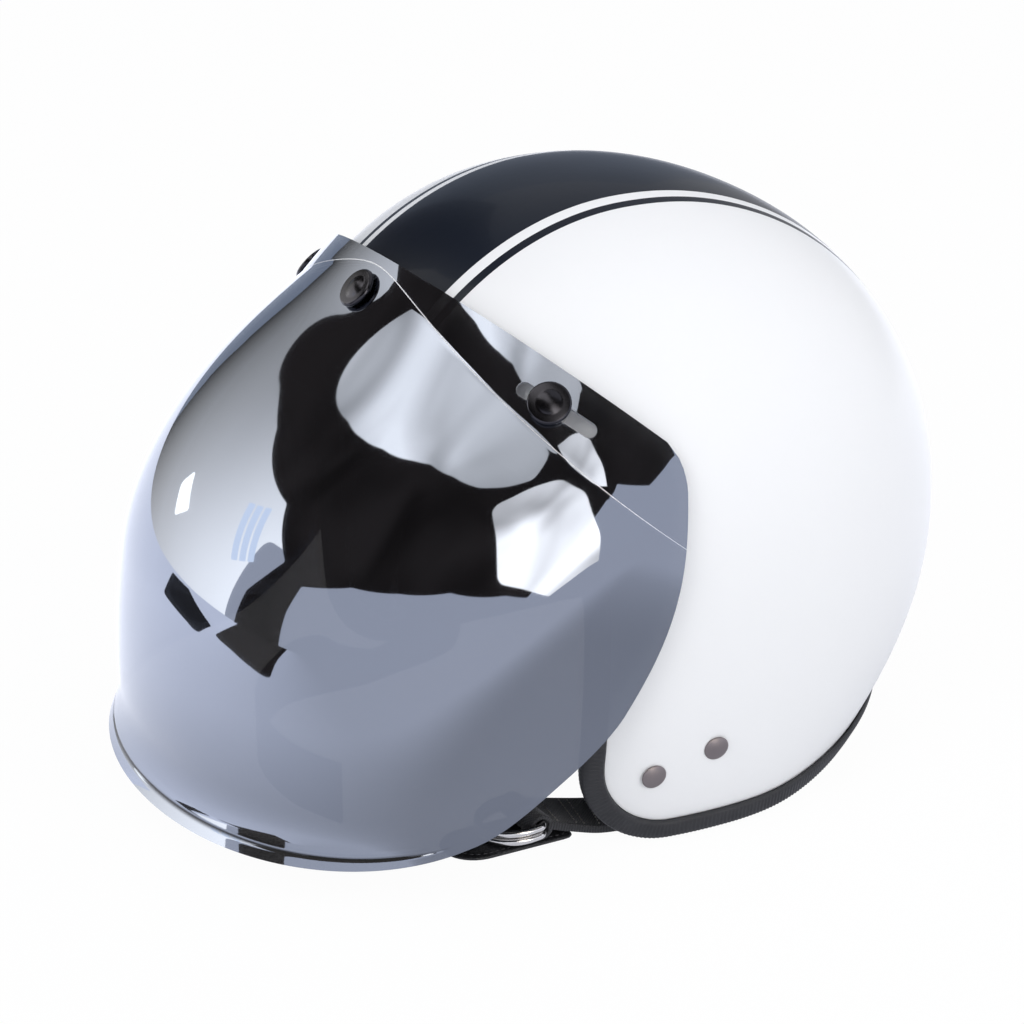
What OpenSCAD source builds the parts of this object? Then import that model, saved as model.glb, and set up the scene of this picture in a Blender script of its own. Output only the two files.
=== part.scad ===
// Open-face riding helmet with a three-snap bubble visor.
// +Z up, the helmet faces -Y, +X is the wearer's left. The origin lies on the ground, in the
// middle of the overall length. It stands on the rubber trim of its two cheeks.

/* [Shell] */
// Outer half width at the widest level
shell_side = 124; // [95:1:150]
// Reach of the widest level in front of the crown axis
shell_front = 130; // [100:1:160]
// Reach of the widest level behind the crown axis
shell_back = 145; // [115:1:175]
// Height of the crown above the ground
crown_h = 235.5; // [190:0.5:285]
// Height of the widest level above the ground
equator_h = 98; // [80:1:120]
// Thickness of the laminated shell
shell_t = 3.6; // [2.5:0.1:5]

/* [Face opening] */
// Height of the brow edge on the centre line
brow_h = 163; // [140:1:185]
// Angle by which the brow edge falls towards the ears
brow_fall = 14; // [0:1:25]
// Distance of the cheek's front edge in front of the crown axis
cheek_front = 58; // [45:1:75]
// Corner radius between the brow edge and the cheek edge
temple_r = 50; // [25:1:65]
// Corner radius at the bottom of the cheek
cheek_r = 34; // [20:1:45]
// Distance behind the crown axis at which the lower edge starts to rise
rise_start = 26; // [0:1:50]
// Angle at which the lower edge rises towards the nape
rise_angle = 13; // [5:1:20]

/* [Edge trim] */
// Rubber thickness around the shell's edge
trim_t = 1.9; // [1.2:0.1:3]
// Width of the trim's lips over the shell
trim_lip = 6; // [4:0.5:10]

/* [Lining] */
// Thickness of the foam impact liner
foam_t = 28; // [20:1:35]
// Distance of the impact liner from the shell's edge
foam_inset = 5; // [4:0.5:10]
// Thickness of the crown cloth pad
crown_pad_t = 5; // [3:0.5:8]
// Thickness of a cheek pad
cheek_pad_t = 26; // [15:1:32]

/* [Visor] */
// Sheet thickness of the visor
visor_t = 2; // [1.5:0.1:3]
// Gap between the brow of the shell and the visor's top band
visor_gap = 6.5; // [5:0.5:8]
// Gap between the sides of the shell and the visor
visor_side_gap = 3.7; // [3:0.1:8]
// How far the bubble bulges in front of the top band
bubble_depth = 41.5; // [25:0.5:55]
// Angle of the visor's top edge, seen from the pivot of its sections
visor_top = 41; // [39:0.5:44]
// Angle of the visor's lip below that pivot
visor_low = 8.2; // [6:0.1:10]
// Flare of the rolled lip
lip_flare = 8; // [3:0.5:12]
// Radius of the corner between the visor's side edge and its lip
visor_corner = 40; // [25:1:50]

/* [Snaps] */
// Angle of the three snaps, seen from the pivot of the visor's sections
snap_angle = 37.3; // [36:0.1:38]
// Distance of a side snap from the centre plane
snap_x = 97; // [85:1:105]
// Diameter of a snap cap
cap_d = 16.5; // [14:0.5:20]
// Height of a snap cap
cap_h = 3; // [2:0.2:4]
// Width of the adjusting slots
slot_w = 6; // [5:0.2:7.5]
// Travel of a side snap towards the front of its slot
slot_ahead = 11; // [6:1:14]
// Travel of a side snap towards the back of its slot
slot_behind = 17; // [10:1:20]

/* [Chin strap] */
// Width of the webbing
web_w = 25; // [20:1:28]
// Thickness of the webbing
web_t = 1.6; // [1.2:0.1:2.5]
// Wire diameter of the D-rings
ring_wire = 3; // [2.4:0.2:4]
// Diameter of a strap rivet's head
rivet_d = 10; // [8:0.5:12]

/* [Hidden] */
$fn = 48;

fit = 0.3;                              // running clearance between pieces
trim_gap = 0.45;                        // gap between the trim and the shell's edge
lining_gap = 0.8;                       // gap between the layers of the lining, for their facets
plan_n = 2.18;                          // squareness of the shell's plan outline
side_n = 2.26;                          // squareness of its front view
long_n = 2.0;                           // squareness of its side view
tuck_n = 2.2;                           // how suddenly the shell tucks in below
side_tuck = 0.13;                       // share of the width lost one equator height lower
back_tuck = 0.49;                       // the same behind
front_tuck = 0.1;                       // and in front
tuck_span = equator_h + 14.5;           // depth over which those shares are lost
edge_slant = 0.22;                      // how much lower the trim reaches where the edge slants
edge_h = trim_t + trim_gap + edge_slant;     // height of the shell's edge above the ground
core = [0, 10, 105];                    // inner point from which the shell is seen whole
hub_tilt = 25;                          // lean of the shell's mesh pole towards the back
rise_blend = 15;                        // length over which the lower edge bends upwards

visor_n = 2.05;                         // squareness of the visor's sections
pivot = [shell_back - 45.5, 51.5];      // rear pivot (y, z) from which the sections fan out
brow_bulge = 8.5;                       // how far the shell's brow stands in front of shell_front
band_reach = pivot[0] + shell_front + brow_bulge + visor_gap;
lip_reach = band_reach + bubble_depth + lip_flare;
axis_y = (lip_reach * cos(visor_low) - pivot[0] - shell_back) / 2;
visor_side = shell_side + visor_side_gap;
visor_wide = 24;                        // angle of the visor's widest section
top_tuck = 7.8;                         // half width lost from there to the top edge
low_tuck = 10.5;                        // half width lost from there to the lip
visor_waist = 140.5;                    // least distance of the side edge from the pivot line
waist_angle = 19;                       // angle of that place
waist_curve = 0.0445;                   // how fast the side edge leaves it, in mm per square degree
top_corner = 9;                         // radius of the corner between the side edge and the top
side_reach = 95.5;                      // depth of the curved front at the visor's top
side_gain = bubble_depth + 27.5;        // how much further forward it starts at the lip
side_power = 1.25;
drawn_dome = 137.5;                     // crown above the widest level where the sections are plane
dome_rise = (crown_h - equator_h) / drawn_dome;

// ---------- shell surface ----------

function clamp(v, a, b) = min(max(v, a), b);
function smooth(t) = t * t * (3 - 2 * t);
function unit(v) = v / norm(v);

// Half size at a height, for a surface that lies `inset` inside the shell
function reach(size, z, tuck, n, inset) =
    z > equator_h
        ? (size - inset) * pow(max(1 - pow((z - equator_h) / (crown_h - inset - equator_h), n), 0), 1 / n)
        : (size - inset) * (1 - tuck * pow((equator_h - z) / tuck_span, tuck_n));
function half_x(z, inset) = reach(shell_side, z, side_tuck, side_n, inset);
function half_y(z, y, inset) =
    y < 0 ? reach(shell_front, z, front_tuck, long_n, inset) : reach(shell_back, z, back_tuck, long_n, inset);
function inside_shell(p, inset) =
    p[2] < crown_h - inset
    && pow(abs(p[0]) / max(half_x(p[2], inset), 0.01), plan_n)
        + pow(abs(p[1]) / max(half_y(p[2], p[1], inset), 0.01), plan_n) < 1;

// Distance along a ray at which it leaves the shell, by halving
function ray_out(from, dir, inset, a = 0, b = 320, steps = 18) =
    steps == 0
        ? (a + b) / 2
        : inside_shell(from + dir * (a + b) / 2, inset)
            ? ray_out(from, dir, inset, (a + b) / 2, b, steps - 1)
            : ray_out(from, dir, inset, a, (a + b) / 2, steps - 1);
function on_shell(dir, inset) = core + dir * ray_out(core, dir, inset);

// ---------- outlines in the side view: positive where material is kept ----------

// Rounded corner where both distances must be positive, and where one is enough
brow_reach = shell_front * 0.88;                    // distance of the brow edge in front of the crown axis
function both(a, b, r) = a < r && b < r ? r - sqrt((r - a) * (r - a) + (r - b) * (r - b)) : min(a, b);
function either(a, b, r) = -both(-a, -b, r);
function brow_keep(p, side) =
    (p[2] - brow_h) * cos(brow_fall) + (p[1] + brow_reach) * sin(brow_fall) - side;
function lower_edge(y) =
    let (d = y - rise_start) edge_h + tan(rise_angle) * (sqrt(d * d + rise_blend * rise_blend) + d) / 2;
function helmet_keep(p, side) =
    both(either(brow_keep(p, side), p[1] + cheek_front - side, temple_r),
         p[2] - lower_edge(p[1]) - side, cheek_r);

// Direction at angle `a` from the mesh pole, on bearing `b`
function ray_dir(pole, b, a) =
    let (u = unit(cross(pole, [1, 0, 0])), v = cross(pole, u))
    pole * cos(a) + (u * cos(b) + v * sin(b)) * sin(a);

// Angle from the pole at which a bearing crosses the outline, by halving
function rim_angle(pole, b, inset, keep, a = 0, c = 165, steps = 16) =
    let (m = (a + c) / 2, p = on_shell(ray_dir(pole, b, m), inset))
    steps == 0 ? m : keep(p) > 0
        ? rim_angle(pole, b, inset, keep, m, c, steps - 1)
        : rim_angle(pole, b, inset, keep, a, m, steps - 1);

function ring_faces(n, a, b) = [for (i = [0:n - 1])
    let (j = (i + 1) % n) each [[a + i, b + j, a + j], [a + i, b + i, b + j]]];

// A patch of the shell between two depths, cut to an outline
module patch(pole, outer, inner, keep, rays, rings, far = 165) {
    function side(inset) = [for (i = [0:rays - 1])
        let (b = i * 360 / rays) [b, rim_angle(pole, b, inset, keep, c = far)]];
    function layer(inset) = let (rim = side(inset))
        [on_shell(pole, inset),
         for (k = [1:rings], r = rim) on_shell(ray_dir(pole, r[0], r[1] * k / rings), inset)];
    total = rays * rings + 1;
    sheet = [for (i = [0:rays - 1]) [0, 1 + (i + 1) % rays, 1 + i],
             for (k = [0:rings - 2]) each ring_faces(rays, 1 + (k + 1) * rays, 1 + k * rays)];
    inside = [for (f = sheet) [f[2] + total, f[1] + total, f[0] + total]];
    last = 1 + (rings - 1) * rays;
    polyhedron(concat(layer(outer), layer(inner)),
        concat(sheet, inside, ring_faces(rays, total + last, last)), convexity = 6);
}
helmet_pole = [0, sin(hub_tilt), cos(hub_tilt)];

// ---------- seats on the shell ----------

// Local frame: Z along `n` and X as near `u` as it can be
module frame_at(p, n, u) {
    x = unit(u - n * (u * n));
    y = cross(n, x);
    multmatrix([[x[0], y[0], n[0], p[0]], [x[1], y[1], n[1], p[1]], [x[2], y[2], n[2], p[2]], [0, 0, 0, 1]])
        children();
}
function shell_pt(y, z) =
    [half_x(z, 0) * pow(1 - pow(abs(y) / half_y(z, y, 0), plan_n), 1 / plan_n), y, z];
function shell_normal(y, z) =
    unit(cross(shell_pt(y + 1, z) - shell_pt(y - 1, z), shell_pt(y, z + 1) - shell_pt(y, z - 1)));

// ---------- visor surface: sections in planes that fan out from the pivot line ----------

function below(a, from) = clamp((from - a) / (from + visor_low), 0, 1);
function above(a, from) = clamp((a - from) / (visor_top - from), 0, 1);
function round_off(t) = 1 - sqrt(1 - t * t);
function flare(a) = pow(below(a, -4), 2);
function visor_front(a) =
    band_reach + bubble_depth * smooth(clamp((visor_top - 2 - a) / (visor_top - 10), 0, 1))
    + lip_flare * flare(a);
function visor_half(a) =
    visor_side - top_tuck * pow(above(a, visor_wide), 2) - low_tuck * pow(below(a, visor_wide), 2)
    + lip_flare * flare(a) / 4;
// Where a section's side turns from straight into the front curve, and where it ends behind
function visor_turn(a) =
    band_reach - side_reach + side_gain * pow((visor_top - a) / (visor_top + visor_low), side_power);
function visor_rear(a) =
    visor_waist + waist_curve * pow(a - waist_angle, 2)
    + visor_corner * round_off(below(a, 4)) + top_corner * round_off(above(a, visor_top - 4));

// The other coordinate of a section's unit curve
function bend(u) = pow(max(1 - pow(u, visor_n), 0), 1 / visor_n);
function visor_width(a, reach, t) =
    let (start = visor_turn(a), wide = visor_half(a) - t)
    reach <= start ? wide : wide * bend((reach - start) / (visor_front(a) - t - start));
function visor_reach(a, x, t) =
    let (start = visor_turn(a)) start + (visor_front(a) - t - start) * bend(abs(x) / (visor_half(a) - t));
// Above the widest level the visor rises with the crown
function with_dome(z) = z < equator_h ? z : equator_h + (z - equator_h) * dome_rise;
function in_space(a, x, reach) = [x, pivot[0] - reach * cos(a), with_dome(pivot[1] + reach * sin(a))];

visor_hub = 110;                                    // inner point of a section, from the pivot line
function section_out(a, turn, t, low = 0, high = 280, steps = 18) =
    let (m = (low + high) / 2)
    steps == 0 ? m
        : visor_hub + m * cos(turn) < visor_front(a) - t
            && m * abs(sin(turn)) < visor_width(a, visor_hub + m * cos(turn), t)
            ? section_out(a, turn, t, m, high, steps - 1)
            : section_out(a, turn, t, low, m, steps - 1);
function visor_pt(a, share, t) =
    let (rear = visor_rear(a), last = atan2(visor_width(a, rear, t), rear - visor_hub),
         turn = share * last, r = section_out(a, turn, t))
    in_space(a, r * sin(turn), visor_hub + r * cos(turn));

// ---------- snap seats: a frame on the visor's outer face, Z pointing out ----------

function snap_pt(x) = in_space(snap_angle, x, visor_reach(snap_angle, x, 0));
function snap_normal(x) =
    let (d = 0.5,
         across = in_space(snap_angle, x + d, visor_reach(snap_angle, x + d, 0))
            - in_space(snap_angle, x - d, visor_reach(snap_angle, x - d, 0)),
         up = in_space(snap_angle + d, x, visor_reach(snap_angle + d, x, 0))
            - in_space(snap_angle - d, x, visor_reach(snap_angle - d, x, 0)))
    unit(cross(across, up));
fan_normal = [0, sin(snap_angle), cos(snap_angle)]; // normal of the plane that holds the three snaps
snap_probe = 30;
// Distance from the visor's outer face down to the shell along the snap's axis
function stud_drop(x) =
    snap_probe - ray_out(snap_pt(x) - snap_normal(x) * snap_probe, snap_normal(x), 0, 0, snap_probe);
// Direction of the shell's surface under a snap
function seat_normal(x) =
    let (d = unit(snap_pt(x) - snap_normal(x) * stud_drop(x) - core), u = unit(cross(d, [0, 0.3, 1])),
         v = cross(u, d), e = 0.02)
    unit(cross(on_shell(unit(d + u * e), 0) - on_shell(unit(d - u * e), 0),
               on_shell(unit(d - v * e), 0) - on_shell(unit(d + v * e), 0)));
module snap_frame(x) { frame_at(snap_pt(x), snap_normal(x), cross(fan_normal, snap_normal(x))) children(); }

// Everything is drawn about the crown axis and moved so that the origin is under the middle
module stand() { translate([0, axis_y, 0]) children(); }
module other_side() { mirror([1, 0, 0]) children(); }

// ---------- chin strap anchors ----------

rivet_at = [[-33.6, 29.2], [-8.4, 37.5]];           // (y, z) of the two rivets of a side
anchor = (rivet_at[0] + rivet_at[1]) / 2;
anchor_n = shell_normal(anchor[0], anchor[1]);
anchor_u = unit([0, rivet_at[1][0] - rivet_at[0][0], rivet_at[1][1] - rivet_at[0][1]]);
rivet_gap = norm(rivet_at[1] - rivet_at[0]);
rivet_shank = 5;
rivet_head_h = 1.8;
plate_t = 1.5;
plate_depth = shell_t + 4.4;                        // outer face of the hanger plate under the shell
plate_l = rivet_gap + 14;
bar_drop = 15;                                      // from the rivets down to the webbing bar
bar_t = 3;
slot_h = 6;                                         // free height above and below the bar

module anchor_frame() { frame_at(shell_pt(anchor[0], anchor[1]), anchor_n, anchor_u) children(); }
rivet_sink = (shell_pt(rivet_at[0][0], rivet_at[0][1]) - shell_pt(anchor[0], anchor[1])) * anchor_n;
module at_holes() { for (s = [-1, 1]) translate([s * rivet_gap / 2, 0]) children(); }
// Both rivets of a side, each as deep as the shell curves away from the anchor's tangent plane
module at_rivets() { for (s = [-1, 1]) translate([s * rivet_gap / 2, 0, rivet_sink]) children(); }
module both_sides() {
    children();
    other_side() children();
}

module outer_shell() {
    color("white") stand() difference() {
        patch(helmet_pole, 0, shell_t, function(p) helmet_keep(p, 0), 100, 14);
        both_sides() anchor_frame() at_rivets()
            translate([0, 0, -2 * shell_t]) cylinder(d = rivet_shank + fit, h = 4 * shell_t);
        for (x = [-snap_x, 0, snap_x]) snap_frame(x)
            translate([0, 0, -stud_drop(x) - 3 * shell_t]) cylinder(d = screw_d + fit, h = 6 * shell_t);
    }
}

module edge_trim() {
    rays = 100;
    keep = function(p) helmet_keep(p, 0);
    rim = [for (i = [0:rays - 1]) let (b = i * 360 / rays, a = rim_angle(helmet_pole, b, 0, keep))
        [on_shell(ray_dir(helmet_pole, b, a), 0), on_shell(ray_dir(helmet_pole, b, a - 1.5), 0),
         on_shell(ray_dir(helmet_pole, b, rim_angle(helmet_pole, b, shell_t, keep)), shell_t)]];
    half = shell_t / 2 + trim_gap + trim_t;
    lip = [[0.4 * trim_t - trim_lip, 0.75 * trim_t], [trim_t - trim_lip, trim_t]];
    nose = [for (a = [90:-36:-90]) [(trim_gap + trim_t) * cos(a), half * sin(a) - shell_t / 2]];
    function section(reach_out) = concat(
        [[trim_gap, trim_gap], [-trim_lip - reach_out, trim_gap]],
        [for (q = lip) [q[0] - reach_out, q[1] + trim_gap]],
        nose,
        [for (q = [lip[1], lip[0]]) [q[0], -shell_t - trim_gap - q[1]]],
        [[-trim_lip, -shell_t - trim_gap], [trim_gap, -shell_t - trim_gap]]);
    function station(i) = let (
        along = unit(rim[(i + 1) % rays][0] - rim[(i + rays - 1) % rays][0]),
        down = unit(rim[i][0] - rim[i][1]),
        out = unit(cross(down, along)),
        edge = cross(along, out),
        deep = max(0, (rim[i][2] - rim[i][0]) * edge))
        [for (q = section(deep)) rim[i][0] + edge * (q[0] + deep) + out * q[1]];
    points = [for (i = [0:rays - 1]) each station(i)];
    n = len(section(0));
    color("#1c1c1e") stand() polyhedron(points,
        [for (i = [0:rays - 1], k = [0:n - 1]) let (a = i * n, b = (i + 1) % rays * n, j = (k + 1) % n)
            each [[a + k, b + k, b + j], [a + k, b + j, a + j]]], convexity = 10);
}

// ---------- lining ----------

foam_in = shell_t + foam_t;                         // depth of the foam's inner face
liner_low = 92;                                     // lower edge of the foam beside the ears
nape_start = 50;                                    // behind this the foam reaches down to the nape
lining_edge = trim_lip + foam_inset;
crown_pad_drop = 48.5;                              // edge of the crown pad, below the crown
loop_room = 14;                                     // depth kept free under a hanger for the webbing

function foam_keep(p) =
    min(helmet_keep(p, lining_edge), either(p[2] - liner_low, p[1] - nape_start, 25));

module impact_liner() {
    color("#3a3a3c") stand()
        difference() {
            patch(helmet_pole, shell_t + lining_gap, foam_in, function(p) foam_keep(p), 60, 10);
            for (x = [-snap_x, 0, snap_x]) snap_frame(x)
                translate([0, 0, -stud_drop(x) - shell_t - nut_h - 2])
                    cylinder(d = 2 * screw_d + 3, h = nut_h + 4);
        }
}
module crown_pad() {
    color("#26262a") stand()
        patch([0, 0.1, 1], foam_in + lining_gap, foam_in + crown_pad_t,
            function(p) both(p[2] - crown_h + crown_pad_drop, 60 - abs(p[1] - 8), 25), 40, 6);
}
// A padded band inside the foam, between two directions from the crown axis
module rear_band(low, high) {
    color("#26262a") stand()
        patch(unit([0, shell_back - foam_in - core[1], (low + high) / 2 - core[2]]),
            foam_in + lining_gap, foam_in + crown_pad_t + 3,
            function(p) both(both(p[2] - low, high - p[2], 12), p[1] - nape_start - 20, 14), 40, 5, 80);
}
module neck_roll() { rear_band(lower_edge(110) + lining_edge + 8, 88); }
module brow_pad() {
    color("#26262a") stand()
        patch(unit([0, -0.79, 0.61]), foam_in + lining_gap, foam_in + crown_pad_t,
            function(p) both(both(helmet_keep(p, lining_edge + 2), lining_edge + 22 - brow_keep(p, 0), 8),
                -30 - p[1], 10), 40, 5, 75);
}
module cheek_pad() {
    pocket = [plate_l + 4, bar_drop + rivet_d + 22, cheek_pad_t];
    color("#2a2a2d") stand() difference() {
        patch(unit([1, -0.24, -0.52]), shell_t + lining_gap, shell_t + cheek_pad_t,
            function(p) min(helmet_keep(p, trim_lip + 3),
                both(liner_low - 4 - fit - p[2], 34 - p[1], 20)), 48, 6, 70);
        anchor_frame()
            translate([0, 2 - bar_drop / 2, pocket[2] / 2 - plate_depth - plate_t - loop_room])
                cube(pocket, center = true);
    }
}
module left_cheek_pad() { cheek_pad(); }
module right_cheek_pad() { other_side() cheek_pad(); }

// ---------- rivets and hangers ----------

module rivet() {
    tail = plate_depth + plate_t + fit + rivet_sink;
    translate([0, 0, fit]) intersection() {
        cylinder(d = rivet_d, h = rivet_head_h);
        translate([0, 0, rivet_head_h - rivet_d]) sphere(r = rivet_d);
    }
    translate([0, 0, -tail - 0.5]) cylinder(d = rivet_shank, h = tail + fit + rivet_head_h / 2);
    translate([0, 0, -tail - 1]) cylinder(d = rivet_shank + 2.4, h = 1);
}
module strap_rivets() { color("#a39a98") stand() both_sides() anchor_frame() at_rivets() rivet(); }
module rivet_washers() {
    color("silver") stand() both_sides() anchor_frame() at_rivets()
        translate([0, 0, -plate_depth - rivet_sink + 0.05]) difference() {
            cylinder(d = rivet_d - 1, h = plate_depth + rivet_sink - shell_t - 0.8);
            translate([0, 0, -1]) cylinder(d = rivet_shank + fit, h = plate_depth);
        }
}
// Frame of a hanger's bar, which lies along X
module at_bar() { anchor_frame() translate([0, -bar_drop, -plate_depth - plate_t / 2]) children(); }
module strap_hanger() {
    arm = (plate_l - web_w) / 2 - 1;
    plate_drop = bar_drop + bar_t / 2 + 1;
    color("#8d8f94") stand() {
        anchor_frame() translate([0, 0, -plate_depth - plate_t]) linear_extrude(plate_t) difference() {
            union() {
                translate([-plate_l / 2, -plate_drop]) square([plate_l, plate_drop]);
                translate([-rivet_gap / 2, -rivet_d / 2]) square([rivet_gap, rivet_d]);
                at_holes() circle(d = plate_l - rivet_gap);
            }
            at_holes() circle(d = rivet_shank + fit);
            translate([-plate_l / 2 + arm, -bar_drop - slot_h]) square([plate_l - 2 * arm, 2 * slot_h]);
        }
        at_bar() rotate([0, 90, 0]) cylinder(d = bar_t, h = plate_l - 2 * arm + 4, center = true);
    }
}
module left_strap_hanger() { strap_hanger(); }
module right_strap_hanger() { other_side() strap_hanger(); }

// ---------- snaps ----------

screw_d = 4;                                        // screw of a stud and post of a cap
stud_d = 7.8;
stud_flange_d = 10;
nut_h = 2;
stud_top = visor_t + 1.6;                           // depth of the stud's top under the visor's face
socket_d = 13.2;
cap_seat = 0.5;                                     // lift of the cap, and drop of the washer
washer_t = 0.6;

module stud(x) {
    drop = stud_drop(x);
    seat = stud_flange_d / 2 * tan(acos(snap_normal(x) * seat_normal(x))) + 0.1;
    color("silver") stand() snap_frame(x) {
        translate([0, 0, -drop + seat]) cylinder(d = stud_flange_d, h = 0.6);
        translate([0, 0, -drop + seat]) cylinder(d = stud_d - 1.6, h = drop - seat - stud_top - 0.5);
        translate([0, 0, -stud_top - 1.4]) cylinder(d = stud_d, h = 1.4);
        translate([0, 0, -drop - shell_t - nut_h - 1]) cylinder(d = screw_d, h = shell_t + nut_h + 1.3 + seat);
        translate([0, 0, -drop - shell_t - nut_h - 1]) cylinder(d = 2 * screw_d, h = nut_h);
    }
}
module snap_cap(x) {
    r = cap_d / 2;
    bead = cap_h * 0.42;
    color("#6d6866") stand() snap_frame(x) translate([0, 0, cap_seat]) {
        rotate_extrude($fn = 96) {
            square([r - bead, cap_h - bead * 0.5]);
            translate([r - bead, bead]) circle(bead);
            translate([r - 2 * bead, 0]) square([bead, cap_h - bead]);
            translate([r - 2.1 * bead, cap_h - bead]) circle(bead);
        }
        translate([0, 0, -cap_seat - visor_t - 1.2]) cylinder(d = screw_d, h = visor_t + 2);
    }
}
module snap_socket(x) {
    drop = stud_drop(x);
    top = visor_t + fit + (x == 0 ? 0 : cap_seat + washer_t);
    low = drop - 1.4;
    color("silver") stand() snap_frame(x) difference() {
        translate([0, 0, -low]) cylinder(d = socket_d, h = low - top);
        translate([0, 0, -low - 1]) cylinder(d = stud_d + 0.6, h = low - stud_top + 1.3);
        translate([0, 0, -low - 1]) cylinder(d = screw_d + fit, h = low + 1);
    }
}
module snap_washer(x) {
    color("gainsboro") stand() snap_frame(x) translate([0, 0, -visor_t - cap_seat - washer_t]) difference() {
        cylinder(d = socket_d + 0.6, h = washer_t);
        translate([0, 0, -1]) cylinder(d = screw_d + fit, h = washer_t + 2);
    }
}
module centre_stud() { stud(0); }
module left_stud() { stud(snap_x); }
module right_stud() { stud(-snap_x); }
module centre_snap_cap() { snap_cap(0); }
module centre_snap_socket() { snap_socket(0); }
module left_snap_cap() { snap_cap(snap_x); }
module left_snap_socket() { snap_socket(snap_x); }
module left_snap_washer() { snap_washer(snap_x); }
module right_snap_cap() { snap_cap(-snap_x); }
module right_snap_socket() { snap_socket(-snap_x); }
module right_snap_washer() { snap_washer(-snap_x); }

// ---------- visor ----------

// The slot's length runs along the visor's section, from the front end to the back end
module adjusting_slot(x) {
    side = sign(x);
    snap_frame(x) translate([0, 0, -2 * visor_t]) {
        for (e = [-slot_ahead, slot_behind])
            translate([side * e, 0, 0]) cylinder(d = slot_w, h = 4 * visor_t);
        translate([side * (slot_behind - slot_ahead) / 2, 0, 2 * visor_t])
            cube([slot_ahead + slot_behind, slot_w, 4 * visor_t], center = true);
    }
}
module visor_lens() {
    rows = 24;
    half = 17;
    n = 2 * half + 1;
    angles = [for (k = [0:rows - 1]) let (s = k / (rows - 1), c = (s + (1 - cos(180 * s)) / 2) / 2)
        visor_top - (visor_top + visor_low) * c];
    function layer(t) = [for (a = angles, j = [-half:half]) visor_pt(a, j / half, t)];
    total = rows * n;
    rim = [for (j = [0:n - 1]) j, for (k = [1:rows - 1]) k * n + n - 1,
           for (j = [n - 2:-1:0]) (rows - 1) * n + j, for (k = [rows - 2:-1:1]) k * n];
    edge = len(rim);
    sheet = [for (k = [0:rows - 2], j = [0:n - 2]) let (p = k * n + j)
        each [[p, p + 1, p + n + 1], [p, p + n + 1, p + n]]];
    color("#8d9bbd") stand() difference() {
        polyhedron(concat(layer(0), layer(visor_t)), concat(
            sheet,
            [for (f = sheet) [f[2] + total, f[1] + total, f[0] + total]],
            [for (i = [0:edge - 1]) let (p = rim[i], q = rim[(i + 1) % edge])
                each [[p, p + total, q + total], [p, q + total, q]]]), convexity = 6);
        snap_frame(0) translate([0, 0, -2 * visor_t]) cylinder(d = screw_d + 2 * fit, h = 4 * visor_t);
        for (x = [-snap_x, snap_x]) adjusting_slot(x);
    }
}

// ---------- chin strap ----------

// Each point of a strap's route: place on its centre line, then the direction of its width.
// The left strap lies flat and carries the rings. The right one turns on edge and lies open.
floor_gap = 0.2;
flap_t = 2.2;                                       // chin flap under the rings
flap_w = web_w + 1;
flap_start = 14;                                    // behind the fold
flap_l = 36;                                        // from the fold to the tip
// The straps keep their routes and move out with the hangers' bars
drawn_bar = 107.779;                                // the bar's distance from the middle for these routes
anchor_y = cross(anchor_n, unit(anchor_u - anchor_n * (anchor_u * anchor_n)));
bar_x = (shell_pt(anchor[0], anchor[1]) - anchor_y * bar_drop - anchor_n * (plate_depth + plate_t / 2))[0];
bar_out = bar_x - drawn_bar;
strap_end = [82 + bar_out, -70];                    // (x, y) of the left strap's fold
fold_bore = 2 * ring_wire + 0.9;                    // round space in the fold for both rings' bars
fold_d = fold_bore + 2 * web_t;
fold_z = floor_gap + flap_t + fit + fold_d / 2;
left_route = [
    [[106.7, -14.3, 17.8], [0.16, 0.94, 0.29]], [[103.2, -14.2, 13.5], [0.1, 0.97, 0.22]],
    [[98.5, -16, 9], [-0.1, 1, 0]], [[94, -22, 5.2], [-0.4, 0.9, 0]], [[90, -31, 3.4], [-0.75, 0.65, 0]],
    [[86.5, -43, 3.2], [-0.93, 0.35, 0]], [[84, -54, 5], [-1, 0.15, 0]], [[82.2, -65, 7.6], [-1, 0, 0]]];
right_route = [
    [[-106.7, -14.3, 17.8], [-0.16, 0.94, 0.29]], [[-103.2, -14.2, 13.5], [-0.1, 0.97, 0.22]],
    [[-98.5, -16, 9], [0.1, 1, 0]], [[-94, -22, 5.2], [0.4, 0.9, 0]], [[-90, -31, 3.4], [0.75, 0.65, 0]],
    [[-86.5, -43, 3.2], [0.93, 0.35, 0]], [[-84, -60, 5.5], [0.9, 0.1, -0.3]],
    [[-80, -79, 11], [0.5, 0.1, -0.85]], [[-70, -100, 13.4], [0, 0, -1]], [[-48, -121, 13.4], [0, 0, -1]],
    [[-18, -134, 13.4], [0, 0, -1]], [[14, -136, 13.4], [0, 0, -1]], [[40, -128, 13.4], [0, 0, -1]]];

// A smooth curve through a list of points, `n` steps to each stretch
function curve(pts, n) =
    let (last = len(pts) - 1)
    [for (i = [0:last - 1], k = [0:n - 1 + (i == last - 1 ? 1 : 0)])
        let (t = k / n, p = pts[max(i - 1, 0)], q = pts[i], r = pts[i + 1], s = pts[min(i + 2, last)])
        q + (r - p) * t / 2 + (2 * p - 5 * q + 4 * r - s) * t * t / 2
            + (3 * q - p - 3 * r + s) * t * t * t / 2];

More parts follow.
